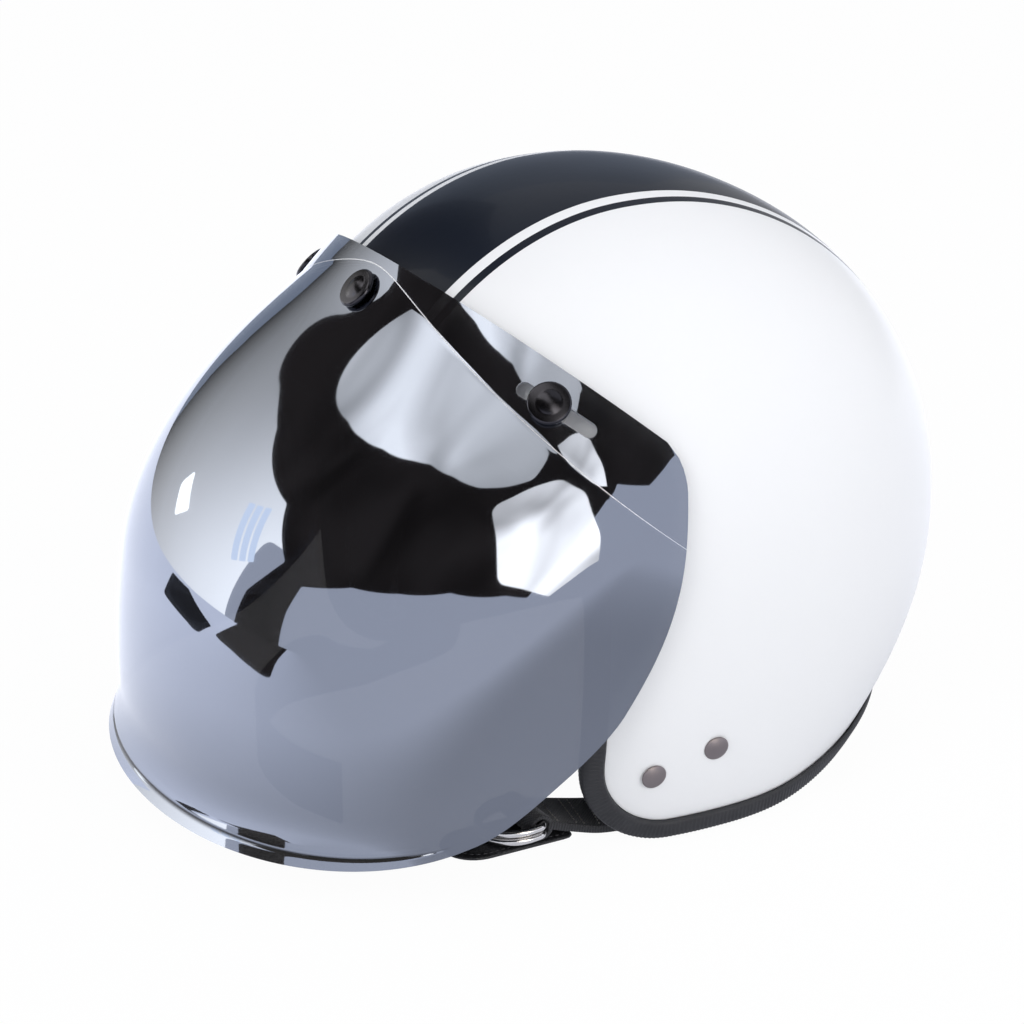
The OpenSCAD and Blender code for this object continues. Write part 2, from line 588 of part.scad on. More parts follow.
// Flat webbing along a route
module webbing(route, thick) {
    mid = curve([for (r = route) r[0]], 4);
    wide = curve([for (r = route) unit(r[1])], 4);
    last = len(mid) - 1;
    points = [for (i = [0:last]) let (
        along = unit(mid[min(i + 1, last)] - mid[max(i - 1, 0)]),
        w = unit(wide[i] - along * (wide[i] * along)) * web_w / 2,
        t = cross(along, unit(w)) * thick / 2)
        each [mid[i] - w - t, mid[i] + w - t, mid[i] + w + t, mid[i] - w + t]];
    polyhedron(points, concat(
        [[0, 1, 2], [0, 2, 3]],
        [for (i = [0:last - 1], k = [0:3]) let (a = 4 * i, j = (k + 1) % 4)
            each [[a + k, a + 4 + j, a + j], [a + k, a + 4 + k, a + 4 + j]]],
        [[4 * last + 2, 4 * last + 1, 4 * last], [4 * last + 3, 4 * last + 2, 4 * last]]), convexity = 8);
}
// A piece of webbing wrapped around a bar, along X
module wrap(bore) {
    rotate([0, 90, 0]) difference() {
        cylinder(d = bore + 2 * web_t, h = web_w, center = true);
        cylinder(d = bore, h = web_w + 2, center = true);
    }
}
// Webbing from the bar of the left hanger along a route
module anchored_webbing(route, thick) {
    at_bar() wrap(bar_t + 2 * fit);
    difference() {
        translate([bar_out, 0, 0]) webbing(route, thick);
        at_bar() rotate([0, 90, 0]) cylinder(d = bar_t + 2 * fit, h = web_w + 8, center = true);
        translate([strap_end[0], strap_end[1], fold_z]) rotate([0, 90, 0])
            cylinder(d = fold_bore, h = web_w + 2, center = true);
    }
}
module left_strap() {
    color("#17171a") stand() {
        anchored_webbing(left_route, 2 * web_t);
        translate([strap_end[0], strap_end[1], fold_z]) wrap(fold_bore);
    }
}
module right_strap() {
    mirrored = [for (r = right_route) [for (v = r) [-v[0], v[1], v[2]]]];
    color("#17171a") stand() other_side() anchored_webbing(mirrored, web_t);
}
module chin_flap() {
    tip = flap_l - flap_w / 2;
    color("#1d1d20") stand() translate([strap_end[0], strap_end[1], floor_gap]) linear_extrude(flap_t) {
        translate([-flap_w / 2, -tip]) square([flap_w, tip + flap_start]);
        translate([0, -tip]) circle(d = flap_w);
    }
}

// ---------- D-rings ----------

ring_r = web_w / 2 + ring_wire / 2 + 0.5;           // centre line of the round end
ring_side = 5;                                      // straight stretch between the bar and the round end
// A D-ring with its straight bar on X through the origin and its round end towards -Y
module d_ring() {
    rotate([0, 90, 0]) cylinder(d = ring_wire, h = 2 * ring_r, center = true);
    for (x = [-ring_r, ring_r]) translate([x, 0, 0]) {
        sphere(d = ring_wire);
        rotate([90, 0, 0]) cylinder(d = ring_wire, h = ring_side);
    }
    translate([0, -ring_side, 0]) rotate([0, 0, 180]) rotate_extrude(angle = 180)
        translate([ring_r, 0]) circle(d = ring_wire);
}
ring_low = fold_z - ring_wire / 2 - 0.15;
ring_high = fold_z + ring_wire / 2 + 0.15;
ring_dip = asin((ring_low - floor_gap - flap_t - fit - ring_wire / 2) / (ring_r + ring_side));
module resting_ring(z) {
    color("silver") stand() translate([strap_end[0], strap_end[1], z]) rotate([ring_dip, 0, 0]) d_ring();
}
module outer_d_ring() { resting_ring(ring_high); }
module inner_d_ring() { resting_ring(ring_low); }

outer_shell();
edge_trim();
impact_liner();
crown_pad();
brow_pad();
neck_roll();
left_cheek_pad();
right_cheek_pad();
left_strap_hanger();
right_strap_hanger();
strap_rivets();
rivet_washers();
left_strap();
right_strap();
chin_flap();
outer_d_ring();
inner_d_ring();
centre_stud();
left_stud();
right_stud();
visor_lens();
centre_snap_cap();
centre_snap_socket();
left_snap_cap();
left_snap_washer();
left_snap_socket();
right_snap_cap();
right_snap_washer();
right_snap_socket();
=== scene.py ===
"""The looks of an open-face riding helmet with a snapped-on mirrored bubble visor.

Sizes are in millimetres about the crown axis, with the ground at zero; place() moves them into
the frame, in metres.
"""
import bpy
import bmesh
import math
from mathutils import Matrix, Vector


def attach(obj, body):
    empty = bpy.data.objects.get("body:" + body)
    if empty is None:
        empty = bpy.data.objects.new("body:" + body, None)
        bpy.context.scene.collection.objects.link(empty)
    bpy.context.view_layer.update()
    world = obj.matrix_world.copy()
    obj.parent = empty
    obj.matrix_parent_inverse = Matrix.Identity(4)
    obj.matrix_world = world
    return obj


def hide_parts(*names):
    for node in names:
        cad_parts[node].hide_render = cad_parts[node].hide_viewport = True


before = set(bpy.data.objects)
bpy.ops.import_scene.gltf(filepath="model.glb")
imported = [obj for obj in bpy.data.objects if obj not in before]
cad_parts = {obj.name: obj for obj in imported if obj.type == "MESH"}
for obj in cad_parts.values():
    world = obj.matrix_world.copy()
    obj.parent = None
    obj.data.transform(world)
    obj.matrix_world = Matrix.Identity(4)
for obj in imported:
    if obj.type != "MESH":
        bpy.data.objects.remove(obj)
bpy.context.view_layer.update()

# ---------- camera, floor and light ----------
# The camera stands to the front left of the helmet, a little above it. The floor is a pale table
# whose front edge and the dark room beyond it are what the visor mirrors; two soft boxes light it.

aim = Vector((0, 0.02325, 0.1105))
camera_distance = 1.4
camera_azimuth = math.radians(60.037)
camera_elevation = math.radians(20.566)
back = Vector((
    math.sin(camera_azimuth) * math.cos(camera_elevation),
    -math.cos(camera_azimuth) * math.cos(camera_elevation),
    math.sin(camera_elevation)))
camera_data = bpy.data.cameras.new("camera")
camera_data.sensor_width = 36
camera_data.lens = 122.7
camera_data.shift_x = -0.064
camera_data.shift_y = -0.0439
camera_data.clip_start = 0.05
camera = bpy.data.objects.new("camera", camera_data)
camera.location = aim + back * camera_distance
camera.rotation_mode = "QUATERNION"
camera.rotation_quaternion = (-back).to_track_quat("-Z", "Y")
bpy.context.collection.objects.link(camera)
bpy.context.scene.camera = camera
bpy.context.scene.view_settings.view_transform = "Standard"


class Paint:
    """The shader nodes of a material or of the world, while they are being made."""

    def __init__(self, owner):
        owner.use_nodes = True
        self.owner = owner
        self.nodes = owner.node_tree.nodes
        self.links = owner.node_tree.links
        self.shader = self.nodes.get("Principled BSDF")

    def feed(self, node, inputs):
        """Sets a node's inputs: another node's output is linked, anything else is a constant."""
        for key, value in inputs.items():
            if isinstance(value, bpy.types.NodeSocket):
                self.links.new(value, node.inputs[key])
            else:
                node.inputs[key].default_value = value

    def add(self, kind, inputs, **settings):
        node = self.nodes.new("ShaderNode" + kind)
        for key, value in settings.items():
            setattr(node, key, value)
        self.feed(node, inputs)
        return node

    def coords(self, kind="Object"):
        return self.add("TexCoord", {}).outputs[kind]

    def axis(self, letter):
        return self.add("SeparateXYZ", {0: self.coords()}).outputs[letter]

    def attribute(self, name):
        return self.add("Attribute", {}, attribute_name=name).outputs["Fac"]

    def noise(self, scale, detail=2.0, distortion=0.0):
        inputs = {"Vector": self.coords(), "Scale": scale, "Detail": detail, "Distortion": distortion}
        return self.add("TexNoise", inputs).outputs["Fac"]

    def math(self, operation, *values):
        return self.add("Math", dict(enumerate(values)), operation=operation).outputs[0]

    def remap(self, value, old_range, new_range, curve="LINEAR"):
        """Carries a value from one range over to another, and keeps it there."""
        inputs = {"Value": value, "From Min": old_range[0], "From Max": old_range[1]}
        inputs.update({"To Min": new_range[0], "To Max": new_range[1]})
        return self.add("MapRange", inputs, interpolation_type=curve).outputs["Result"]

    def ramp(self, value, first, last, start=0.0, end=1.0):
        """A colour that runs from one to another."""
        node = self.add("ValToRGB", {"Fac": value})
        low_end, high_end = node.color_ramp.elements
        low_end.position, high_end.position = start, end
        low_end.color = (*first, 1)
        high_end.color = (*last, 1)
        return node.outputs["Color"]

    def mix(self, factor, first, second):
        inputs = {"Factor": factor, "A": first, "B": second}
        return self.add("Mix", inputs, data_type="RGBA").outputs["Result"]

    def bump(self, height, strength, distance, invert=False):
        inputs = {"Height": height, "Strength": strength, "Distance": distance}
        relief = self.add("Bump", inputs, invert=invert)
        self.feed(self.shader, {"Normal": relief.outputs[0]})

    def finish(self, inputs):
        """Sets the shader's own inputs, and gives back what was painted."""
        self.feed(self.shader, inputs)
        return self.owner


def new_paint(name):
    return Paint(bpy.data.materials.new(name))


def modify(piece, name, kind, **settings):
    modifier = piece.modifiers.new(name, kind)
    for key, value in settings.items():
        setattr(modifier, key, value)


def declare(piece, body, slot, *nodes):
    """Hangs a piece under its body's empty and hides the CAD nodes it takes the place of; slot is not
    used.
    """
    if nodes:
        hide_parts(*nodes)
    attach(piece, body)


def finish_piece(name, bm, material, smooth=True):
    """Turns a bmesh into an object at the origin."""
    mesh = bpy.data.meshes.new(name)
    bm.to_mesh(mesh)
    bm.free()
    mesh.materials.append(material)
    for face in mesh.polygons:
        face.use_smooth = smooth
    piece = bpy.data.objects.new(name, mesh)
    bpy.context.collection.objects.link(piece)
    return piece


floor_size, floor_centre = 6.0, (-1.6, 1.6, -0.0005)
seen_white = 0.97  # how much of the floor's colour the camera sees as plain white
paint = new_paint("pale_floor")
paint.finish({"Base Color": (0.82, 0.83, 0.85, 1), "Roughness": 0.9, "Specular IOR Level": 0})
glow = paint.add("Emission", {"Strength": 1})
camera_share = paint.math("MULTIPLY", paint.add("LightPath", {}).outputs["Is Camera Ray"], seen_white)
blend = paint.add("MixShader", {0: camera_share, 1: paint.shader.outputs[0], 2: glow.outputs[0]})
paint.feed(paint.nodes["Material Output"], {"Surface": blend.outputs[0]})
floor_bm = bmesh.new()
bmesh.ops.create_grid(floor_bm, x_segments=1, y_segments=1, size=floor_size / 2)
bmesh.ops.translate(floor_bm, verts=floor_bm.verts, vec=floor_centre)
finish_piece("floor", floor_bm, paint.owner, smooth=False)


def glow_card(name, bm, colour, mottle=0.0, fade=0.0):
    """A card that only glossy pieces see. mottle is how much folds vary its light, and fade how
    much of it is lost from its front edge to its back one."""
    depths = [vert.co.y for vert in bm.verts]
    paint = new_paint(name + "_paint")
    folded = paint.remap(paint.noise(1.1, 1.5, 0.6), (0.3, 0.7), (1 - mottle, 1))
    faded = paint.remap(paint.axis("Y"), (min(depths), max(depths)), (1, 1 - fade))
    paint.finish({
        "Base Color": (0, 0, 0, 1), "Specular IOR Level": 0, "Emission Color": (*colour, 1),
        "Emission Strength": paint.math("MULTIPLY", folded, faded)})
    card = finish_piece(name, bm, paint.owner, smooth=False)
    for ray in ("camera", "shadow", "diffuse", "transmission"):
        setattr(card, "visible_" + ray, False)
    return card


def card_shape(corners, rounding):
    """A polygon in X and Y with rounded corners, cut into small faces."""
    bm = bmesh.new()
    bm.faces.new([bm.verts.new((*corner, 0)) for corner in corners])
    bmesh.ops.bevel(bm, geom=bm.verts, offset=rounding, affect="VERTICES", segments=4, profile=0.5,
                    material=-1)
    bmesh.ops.triangulate(bm, faces=bm.faces)
    bmesh.ops.subdivide_edges(bm, edges=bm.edges, cuts=5, use_grid_fill=True)
    return bm


def sky_shape(name, corners, colour, distance, mottle=0.0, fade=0.0, rounding=3.0):
    """A card on a dome round the helmet; corners are (azimuth, elevation) in degrees."""
    bm = card_shape(corners, rounding)
    for vert in bm.verts:
        azimuth, elevation = math.radians(vert.co.x), math.radians(vert.co.y)
        away = Vector((
            math.sin(azimuth) * math.cos(elevation), -math.cos(azimuth) * math.cos(elevation),
            math.sin(elevation)))
        vert.co = aim + away * distance
    return glow_card(name, bm, colour, mottle, fade)


def floor_shape(name, corners, colour, rounding=0.03):
    """A dark shape lying on the floor; corners are (x, y) in metres."""
    bm = card_shape(corners, rounding)
    bmesh.ops.translate(bm, verts=bm.verts, vec=(0, 0, 0.0005))
    return glow_card(name, bm, colour, 0.3)


# the mirrored table's glow is painted light: lighter to the left, with a painted shadow near the helmet
table_bm = bmesh.new()
bmesh.ops.create_grid(table_bm, x_segments=1, y_segments=1, size=2.3)
table = glow_card("mirrored_table", table_bm, (1.0, 1.03, 1.15))
paint = Paint(table.data.materials[0])
helmet_shadow_centre = (0.15, 0, 0)
away = paint.add("VectorMath", {0: paint.coords(), 1: helmet_shadow_centre}, operation="DISTANCE").outputs["Value"]
paint.finish({"Emission Strength": paint.math(
    "MULTIPLY", paint.remap(paint.axis("X"), (-0.35, 0.25), (1.55, 0.9), "SMOOTHSTEP"),
    paint.remap(away, (0.12, 0.38), (0.6, 1), "SMOOTHSTEP"))})

sky_shape("dark_room", (
    (-95, 8), (-79, 22), (-75, 26), (-71.5, 27), (-66.5, 28.3), (-60, 30), (-45, 31),
    (-29, 32), (-12, 22), (-20, 9), (-22, -5), (-4, -5), (-3, 9), (-1, 18), (18, 22), (37, 21),
    (56, 18), (76, 8), (84, 2), (97, 24), (106, 19), (113, 15), (124, 17), (122, 40), (95, 62),
    (40, 82), (-20, 82), (-64, 66), (-100, 38)), (0.050, 0.042, 0.040), 2.2, 0.6, 0, 0.6)
floor_shape("doorway_on_floor", (
    (-0.2, -0.52), (0.0, -0.52), (-0.02, -2.28), (-0.85, -2.28)), (0.05, 0.042, 0.04))
floor_shape("chair_on_floor", (
    (-1.3, -1.1), (-0.38, -0.40), (-0.2, -0.42), (-0.28, -0.62), (-1.2, -1.35)), (0.05, 0.05, 0.055))
sky_shape("paper_sweep", (
    (-26, -5), (-24, 24), (60, 26), (104, 24), (150, 34), (185, 34), (185, -5)), (0.9, 0.93, 1.04), 2.3)
sky_shape("grey_wall", (
    (-88, -5), (-88, 34), (-50, 34), (-30, 36), (-12, 22), (-22, -5)), (3.1, 3.05, 2.95), 2.4, 0, 0.98)
sky_shape("side_wall", ((-130, -5), (-130, 30), (-88, 34), (-87, -5)), (0.35, 0.4, 0.5), 2.4)
sky_shape("soft_patch_overhead", (
    (-73, 30), (-68, 42), (-50, 56), (-40, 66), (-19, 74), (15, 77), (40, 72), (60, 61), (72, 50),
    (70, 46), (61, 47), (50, 49), (36, 53), (20, 55.5), (9, 55), (-13, 52.5), (-28, 49), (-42, 45),
    (-56, 39), (-63, 36), (-69, 33)), (2.8, 2.75, 2.65), 1.9, 0.75, 0, 1.5)
sky_shape("soft_patch_side", (
    (58, 42), (70, 44), (79, 42), (89, 32), (98, 10), (102, -6), (95, -7), (80, 7), (71, 14), (65, 28)),
    (5.0, 4.8, 4.5), 1.9, 0.8)
sky_shape("window_left", ((-63, 10), (-62, 14.5), (-55, 10.5), (-58, 6)), (4, 4, 3.8), 2.0, 0, 0, 0.8)
for pane in range(3):
    near, far = pane / 3 + 0.03, pane / 3 + 0.28
    sky_shape(f"window_right_{pane}", (
        (-41 + 10 * near, 25 + 4 * near), (-41 + 10 * far, 25 + 4 * far),
        (-31 + 9 * far, 13 + 4 * far), (-31 + 9 * near, 13 + 4 * near)), (1.9, 2.1, 2.4), 2.0, 0, 0, 0.3)


def soft_box(name, size, place_at, power):
    """A rectangular lamp that looks at the helmet and isn't mirrored in it."""
    data = bpy.data.lights.new(name, "AREA")
    data.shape = "RECTANGLE"
    data.size, data.size_y = size
    data.energy = power
    lamp = bpy.data.objects.new(name, data)
    lamp.location = place_at
    lamp.rotation_mode = "QUATERNION"
    lamp.rotation_quaternion = (aim - Vector(place_at)).to_track_quat("-Z", "Y")
    lamp.visible_glossy = False
    bpy.context.collection.objects.link(lamp)


soft_box("soft_box_top", (1.2, 1.2), (0.3, 0.1, 1.7), 4)
soft_box("soft_box_front", (0.7, 0.7), (0.7, -1.3, 1.15), 6.5)
soft_box("soft_box_side", (0.8, 1.0), (1.7, 0.5, 1.0), 12)

world = bpy.data.worlds.new("studio")
bpy.context.scene.world = world
paint = Paint(world)
sky = paint.nodes["Background"]
paint.feed(sky, {"Color": (0.93, 0.95, 1, 1), "Strength": 0.69})
backdrop = paint.add("Background", {"Color": (1, 1, 1, 1)})
camera_rays = paint.add("LightPath", {}).outputs["Is Camera Ray"]
blend = paint.add("MixShader", {0: camera_rays, 1: sky.outputs[0], 2: backdrop.outputs[0]})
paint.feed(paint.nodes["World Output"], {"Surface": blend.outputs[0]})

# ---------- outer shell ----------
# A laminated fibre shell, moulded in one piece, sprayed white with dark stripes over the crown and
# covered in clear lacquer. Its surface is a super-ellipsoid, cut to an outline in the side view.

shell_side, shell_front, shell_back = 124.0, 130.0, 145.0
crown_h, equator_h = 235.5, 98.0
shell_t = 3.6
trim_t, trim_gap, edge_slant, trim_lip = 1.9, 0.45, 0.22, 6.0
brow_h, brow_fall, cheek_front = 163.0, 14.0, 58.0
temple_r, cheek_r = 50.0, 34.0
rise_start, rise_angle, rise_blend = 26.0, 13.0, 15.0
plan_n, side_n, long_n, tuck_n = 2.18, 2.26, 2.0, 2.2
side_tuck, back_tuck, front_tuck = 0.13, 0.49, 0.1
tuck_span = equator_h + 14.5
edge_h = trim_t + trim_gap + edge_slant
core, ray_far = Vector((0, 10, 105)), 320.0
helmet_pole = Vector((0, math.sin(math.radians(25)), math.cos(math.radians(25))))

# the visor's lip sets the length, and the frame's origin is under the middle of it
pivot_y, pivot_z = shell_back - 45.5, 51.5
visor_top, visor_low = 41.0, 8.2
band_reach = pivot_y + shell_front + 8.5 + 6.5
bubble_depth, lip_flare = 41.5, 8.0
lip_reach = band_reach + bubble_depth + lip_flare
axis_y = (lip_reach * math.cos(math.radians(visor_low)) - pivot_y - shell_back) / 2


def place(point):
    """From millimetres about the crown axis to metres in the frame."""
    return Vector((point[0], point[1] + axis_y, point[2])) / 1000


def reach(size, z, tuck, n, inset):
    if z > equator_h:
        rise = (z - equator_h) / (crown_h - inset - equator_h)
        return (size - inset) * max(1 - rise ** n, 0) ** (1 / n)
    return (size - inset) * (1 - tuck * ((equator_h - z) / tuck_span) ** tuck_n)


def inside_shell(p, inset):
    if p.z >= crown_h - inset:
        return False
    front = p.y < 0
    half_x = reach(shell_side, p.z, side_tuck, side_n, inset)
    size, tuck = (shell_front, front_tuck) if front else (shell_back, back_tuck)
    half_y = reach(size, p.z, tuck, long_n, inset)
    return (abs(p.x) / max(half_x, 0.01)) ** plan_n + (abs(p.y) / max(half_y, 0.01)) ** plan_n < 1


def furthest(inside, far, steps):
    """How far from 0 towards far inside(distance) stays true, found by halving."""
    low, high = 0.0, far
    for _ in range(steps):
        middle = (low + high) / 2
        if inside(middle):
            low = middle
        else:
            high = middle
    return (low + high) / 2


def on_shell(direction, inset, steps=22):
    """The point at which a ray from the core leaves the surface `inset` inside the shell."""
    reached = furthest(lambda out: inside_shell(core + direction * out, inset), ray_far, steps)
    return core + direction * reached


def both(a, b, r):
    """Rounded corner where both distances have to be positive."""
    if a < r and b < r:
        return r - math.hypot(r - a, r - b)
    return min(a, b)


def either(a, b, r):
    return -both(-a, -b, r)


def brow_keep(p, side=0.0):
    fall = math.radians(brow_fall)
    return (p.z - brow_h) * math.cos(fall) + (p.y + shell_front * 0.88) * math.sin(fall) - side


def lower_edge(y):
    d = y - rise_start
    return edge_h + math.tan(math.radians(rise_angle)) * (math.hypot(d, rise_blend) + d) / 2


def helmet_keep(p, side=0.0):
    opening = either(brow_keep(p, side), p.y + cheek_front - side, temple_r)
    return both(opening, p.z - lower_edge(p.y) - side, cheek_r)


def ray_dir(pole, bearing, angle):
    u = pole.cross(Vector((1, 0, 0))).normalized()
    v = pole.cross(u)
    return pole * math.cos(angle) + (u * math.cos(bearing) + v * math.sin(bearing)) * math.sin(angle)


def rim_angle(pole, bearing, inset, keep, far=165.0):
    """The angle from the pole at which a bearing crosses the outline."""
    def kept(angle):
        return keep(on_shell(ray_dir(pole, bearing, angle), inset, steps=18)) > 0

    return furthest(kept, math.radians(far), 20)


def bearing_key(vert):
    return round(math.atan2(vert.co.y, vert.co.x), 5)


def point_outwards(bm, centre):
    """Turns an open surface's faces away from a point inside it."""
    bm.normal_update()
    inward = sum((f.calc_center_median() - centre).dot(f.normal) * f.calc_area() for f in bm.faces)
    if inward < 0:
        bmesh.ops.reverse_faces(bm, faces=bm.faces)


def shell_patch(pole, inset, keep, around, rings):
    """An open sheet on the shell's surface: a sphere without its last pole, pulled to the outline."""
    bm = bmesh.new()
    bmesh.ops.create_uvsphere(bm, u_segments=around, v_segments=rings + 1, radius=1)
    lowest = min(bm.verts, key=lambda v: v.co.z)
    bmesh.ops.delete(bm, geom=[lowest], context="VERTS")
    rims = {}
    for vert in bm.verts:
        share = math.acos(max(min(vert.co.z, 1), -1)) / (math.pi * rings / (rings + 1))
        bearing = bearing_key(vert)
        if bearing not in rims:
            rims[bearing] = rim_angle(pole, bearing, inset, keep)
        vert.co = place(on_shell(ray_dir(pole, bearing, rims[bearing] * share), inset, steps=30))
    point_outwards(bm, place(core))
    return bm


stripe_half, line_inner, line_outer = 0.0333, 0.0383, 0.0421
paint = new_paint("white_lacquer_with_stripes")
aside = paint.math("ABSOLUTE", paint.axis("X"))
thin_line = paint.math(
    "MULTIPLY", paint.math("GREATER_THAN", aside, line_inner), paint.math("LESS_THAN", aside, line_outer))
dark = paint.math("MAXIMUM", paint.math("LESS_THAN", aside, stripe_half), thin_line)
paint.bump(paint.noise(260, 1), 0.02, 0.001)
lacquer = paint.finish({
    "Base Color": paint.mix(dark, (0.80, 0.80, 0.805, 1), (0.005, 0.008, 0.016, 1)),
    "Roughness": 0.32, "Coat Weight": 0.08, "Specular IOR Level": 0.15, "Coat Roughness": 0.06})

shell = finish_piece("painted_shell", shell_patch(helmet_pole, 0, helmet_keep, 220, 72), lacquer)
modify(shell, "wall", "SOLIDIFY", thickness=shell_t / 1000, offset=-1)
declare(shell, "helmet", "shell_lacquer", "outer_shell")

# ---------- edge trim ----------
# An extruded rubber channel pushed over the shell's edge all round and glued. Fine slanting ribs
# are rolled into its outside; it meets itself at the nape.

rib_pitch, rib_depth, rib_steps = 1.7, 0.2, 5
rim_stations = 240


def catmull_rom(p, q, r, w, s):
    """The curve from q to r that passes p before and w after, s running from 0 to 1."""
    return (q + (r - p) * (s / 2) + (2 * p - 5 * q + 4 * r - w) * (s * s / 2)
            + (3 * q - p - 3 * r + w) * (s * s * s / 2))


def curve_through(points, t):
    """A closed curve through points, t counting points."""
    i = math.floor(t)
    return catmull_rom(*(points[(i + k) % len(points)] for k in (-1, 0, 1, 2)), t - i)


rim, rim_inner, rim_back = [], [], []
for i in range(rim_stations):
    bearing = 2 * math.pi * i / rim_stations
    edge_angle = rim_angle(helmet_pole, bearing, 0, helmet_keep)
    deep_angle = rim_angle(helmet_pole, bearing, shell_t, helmet_keep)
    rim.append(on_shell(ray_dir(helmet_pole, bearing, edge_angle), 0))
    rim_back.append(on_shell(ray_dir(helmet_pole, bearing, edge_angle - math.radians(1.5)), 0))
    rim_inner.append(on_shell(ray_dir(helmet_pole, bearing, deep_angle), shell_t))
travelled = [0.0]
for i in range(rim_stations):
    travelled.append(travelled[-1] + (rim[(i + 1) % rim_stations] - rim[i]).length)
rim_length = travelled[-1]


def rim_at(distance):
    """The place on the rim, counted in stations, at a distance along it."""
    low, high = 0, rim_stations
    while high - low > 1:
        middle = (low + high) // 2
        if travelled[middle] <= distance:
            low = middle
        else:
            high = middle
    return low + (distance - travelled[low]) / (travelled[low + 1] - travelled[low])


def trim_section():
    """The channel's outline (towards the edge, outwards); True where ribs are rolled in."""
    half = shell_t / 2 + trim_gap + trim_t
    outline = [(trim_gap, trim_gap, False), (-trim_lip, trim_gap, False)]
    outline += [(0.4 * trim_t - trim_lip, trim_gap + 0.8 * trim_t, False)]
    outline += [(trim_t - trim_lip + k * 0.9, trim_gap + trim_t, True) for k in range(4)]
    outline += [((trim_gap + trim_t) * math.cos(a), half * math.sin(a) - shell_t / 2, True)
                for a in (math.radians(d) for d in range(90, -91, -20))]
    outline += [(trim_t - trim_lip, -shell_t - trim_gap - trim_t, False)]
    outline += [(0.4 * trim_t - trim_lip, -shell_t - trim_gap - 0.8 * trim_t, False)]
    outline += [(-trim_lip, -shell_t - trim_gap, False), (trim_gap, -shell_t - trim_gap, False)]
    return outline


def trim_point(section, station):
    along, out_by, ribbed = section
    t = rim_at(min(station, rim_length - 1e-6))
    here, behind, inner = (curve_through(line, t) for line in (rim, rim_back, rim_inner))
    ahead = (curve_through(rim, t + 0.5) - curve_through(rim, t - 0.5)).normalized()
    down = (here - behind).normalized()
    out = down.cross(ahead).normalized()
    edge = ahead.cross(out)
    deep = max(0.0, (inner - here).dot(edge))
    if ribbed:
        slant = (station + 1.2 * out_by) / rib_fit
        groove = rib_depth * (0.5 - 0.5 * math.cos(2 * math.pi * slant))
        out_by -= groove if out_by > -shell_t / 2 else -groove
        along -= groove if along > 0 else 0
    if out_by > 0 and along < 0:
        along -= deep
    return here + edge * (along + deep) + out * out_by


rib_count = round(rim_length / rib_pitch)
rib_fit = rim_length / rib_count
section = trim_section()
trim_bm = bmesh.new()
stations = rib_count * rib_steps
bmesh.ops.create_grid(trim_bm, x_segments=stations, y_segments=len(section), size=0.5)
for vert in trim_bm.verts:
    station = (vert.co.x + 0.5) * rim_length
    row = round((vert.co.y + 0.5) * len(section)) % len(section)
    vert.co = place(trim_point(section[row], station))
bmesh.ops.remove_doubles(trim_bm, verts=trim_bm.verts, dist=2e-6)
bmesh.ops.recalc_face_normals(trim_bm, faces=trim_bm.faces)

paint = new_paint("ribbed_rubber")
dust = paint.noise(90, 6)
paint.bump(dust, 0.15, 0.0003)
rubber = paint.finish({
    "Base Color": paint.ramp(dust, (0.010, 0.010, 0.012), (0.030, 0.030, 0.034)), "Roughness": 0.55})

trim = finish_piece("ribbed_trim", trim_bm, rubber)
declare(trim, "helmet", "edge_rubber", "edge_trim")

# ---------- bubble visor ----------
# A 2 mm polycarbonate sheet, blown to a bubble below a plain band, with a rolled lip along the
# bottom and a blue-silver mirror coating. Two slots in the band let the side snaps be set.

visor_t = 2.0
visor_n = 2.05
visor_side = shell_side + 3.7
visor_hub = 110.0
snap_angle, snap_x = 37.3, 97.0
slot_w, slot_ahead, slot_behind = 6.0, 11.0, 17.0


def clamp(v, low=0.0, high=1.0):
    return min(max(v, low), high)


def below(a, start):
    return clamp((start - a) / (start + visor_low))


def above(a, start):
    return clamp((a - start) / (visor_top - start))


def round_off(t):
    return 1 - math.sqrt(1 - t * t)


def visor_front(a):
    blow = clamp((visor_top - 2 - a) / (visor_top - 10))
    return band_reach + bubble_depth * blow * blow * (3 - 2 * blow) + lip_flare * below(a, -4) ** 2


def visor_half(a):
    return (visor_side - 7.8 * above(a, 24) ** 2 - 10.5 * below(a, 24) ** 2
            + lip_flare * below(a, -4) ** 2 / 4)


def visor_turn(a):
    opening = ((visor_top - a) / (visor_top + visor_low)) ** 1.25
    return band_reach - 95.5 + (bubble_depth + 27.5) * opening


def visor_rear(a):
    return (140.5 + 0.0445 * (a - 19) ** 2 + 40 * round_off(below(a, 4))
            + 9 * round_off(above(a, visor_top - 4)))


crease_top, crease_fall, crease_round, crease_slope = 41.4, 11.35, 0.12, 1.40
band_slope = (visor_front(snap_angle - 0.1) - visor_front(snap_angle + 0.1)) / 0.2 - 0.15


def crease_at(share):
    """Angle of the crease that ends the plain band: highest in front, falling to both sides."""
    return crease_top - crease_fall * math.hypot(share, crease_round)


def creased_front(a, share):
    """The bubble's front starts at the crease; above it the band runs straight past the snaps."""
    crease = crease_at(share)
    band = visor_front(snap_angle) + band_slope * (snap_angle - max(a, crease))
    if a < crease:
        rise = band_reach + bubble_depth - band
        span = crease - 8.0
        t = clamp((crease - a) / span)
        shape = crease_slope * span / rise * (t * t * t - 2 * t * t + t) + 3 * t * t - 2 * t * t * t
        band += rise * shape + lip_flare * below(a, -4) ** 2
    sharp = clamp(abs(share) / 0.55)
    return visor_front(a) + (band - visor_front(a)) * sharp * sharp * (3 - 2 * sharp)


def visor_width(a, out, front):
    turn = visor_turn(a)
    if out <= turn:
        return visor_half(a)
    bent = max(1 - ((out - turn) / (front - turn)) ** visor_n, 0)
    return visor_half(a) * bent ** (1 / visor_n)


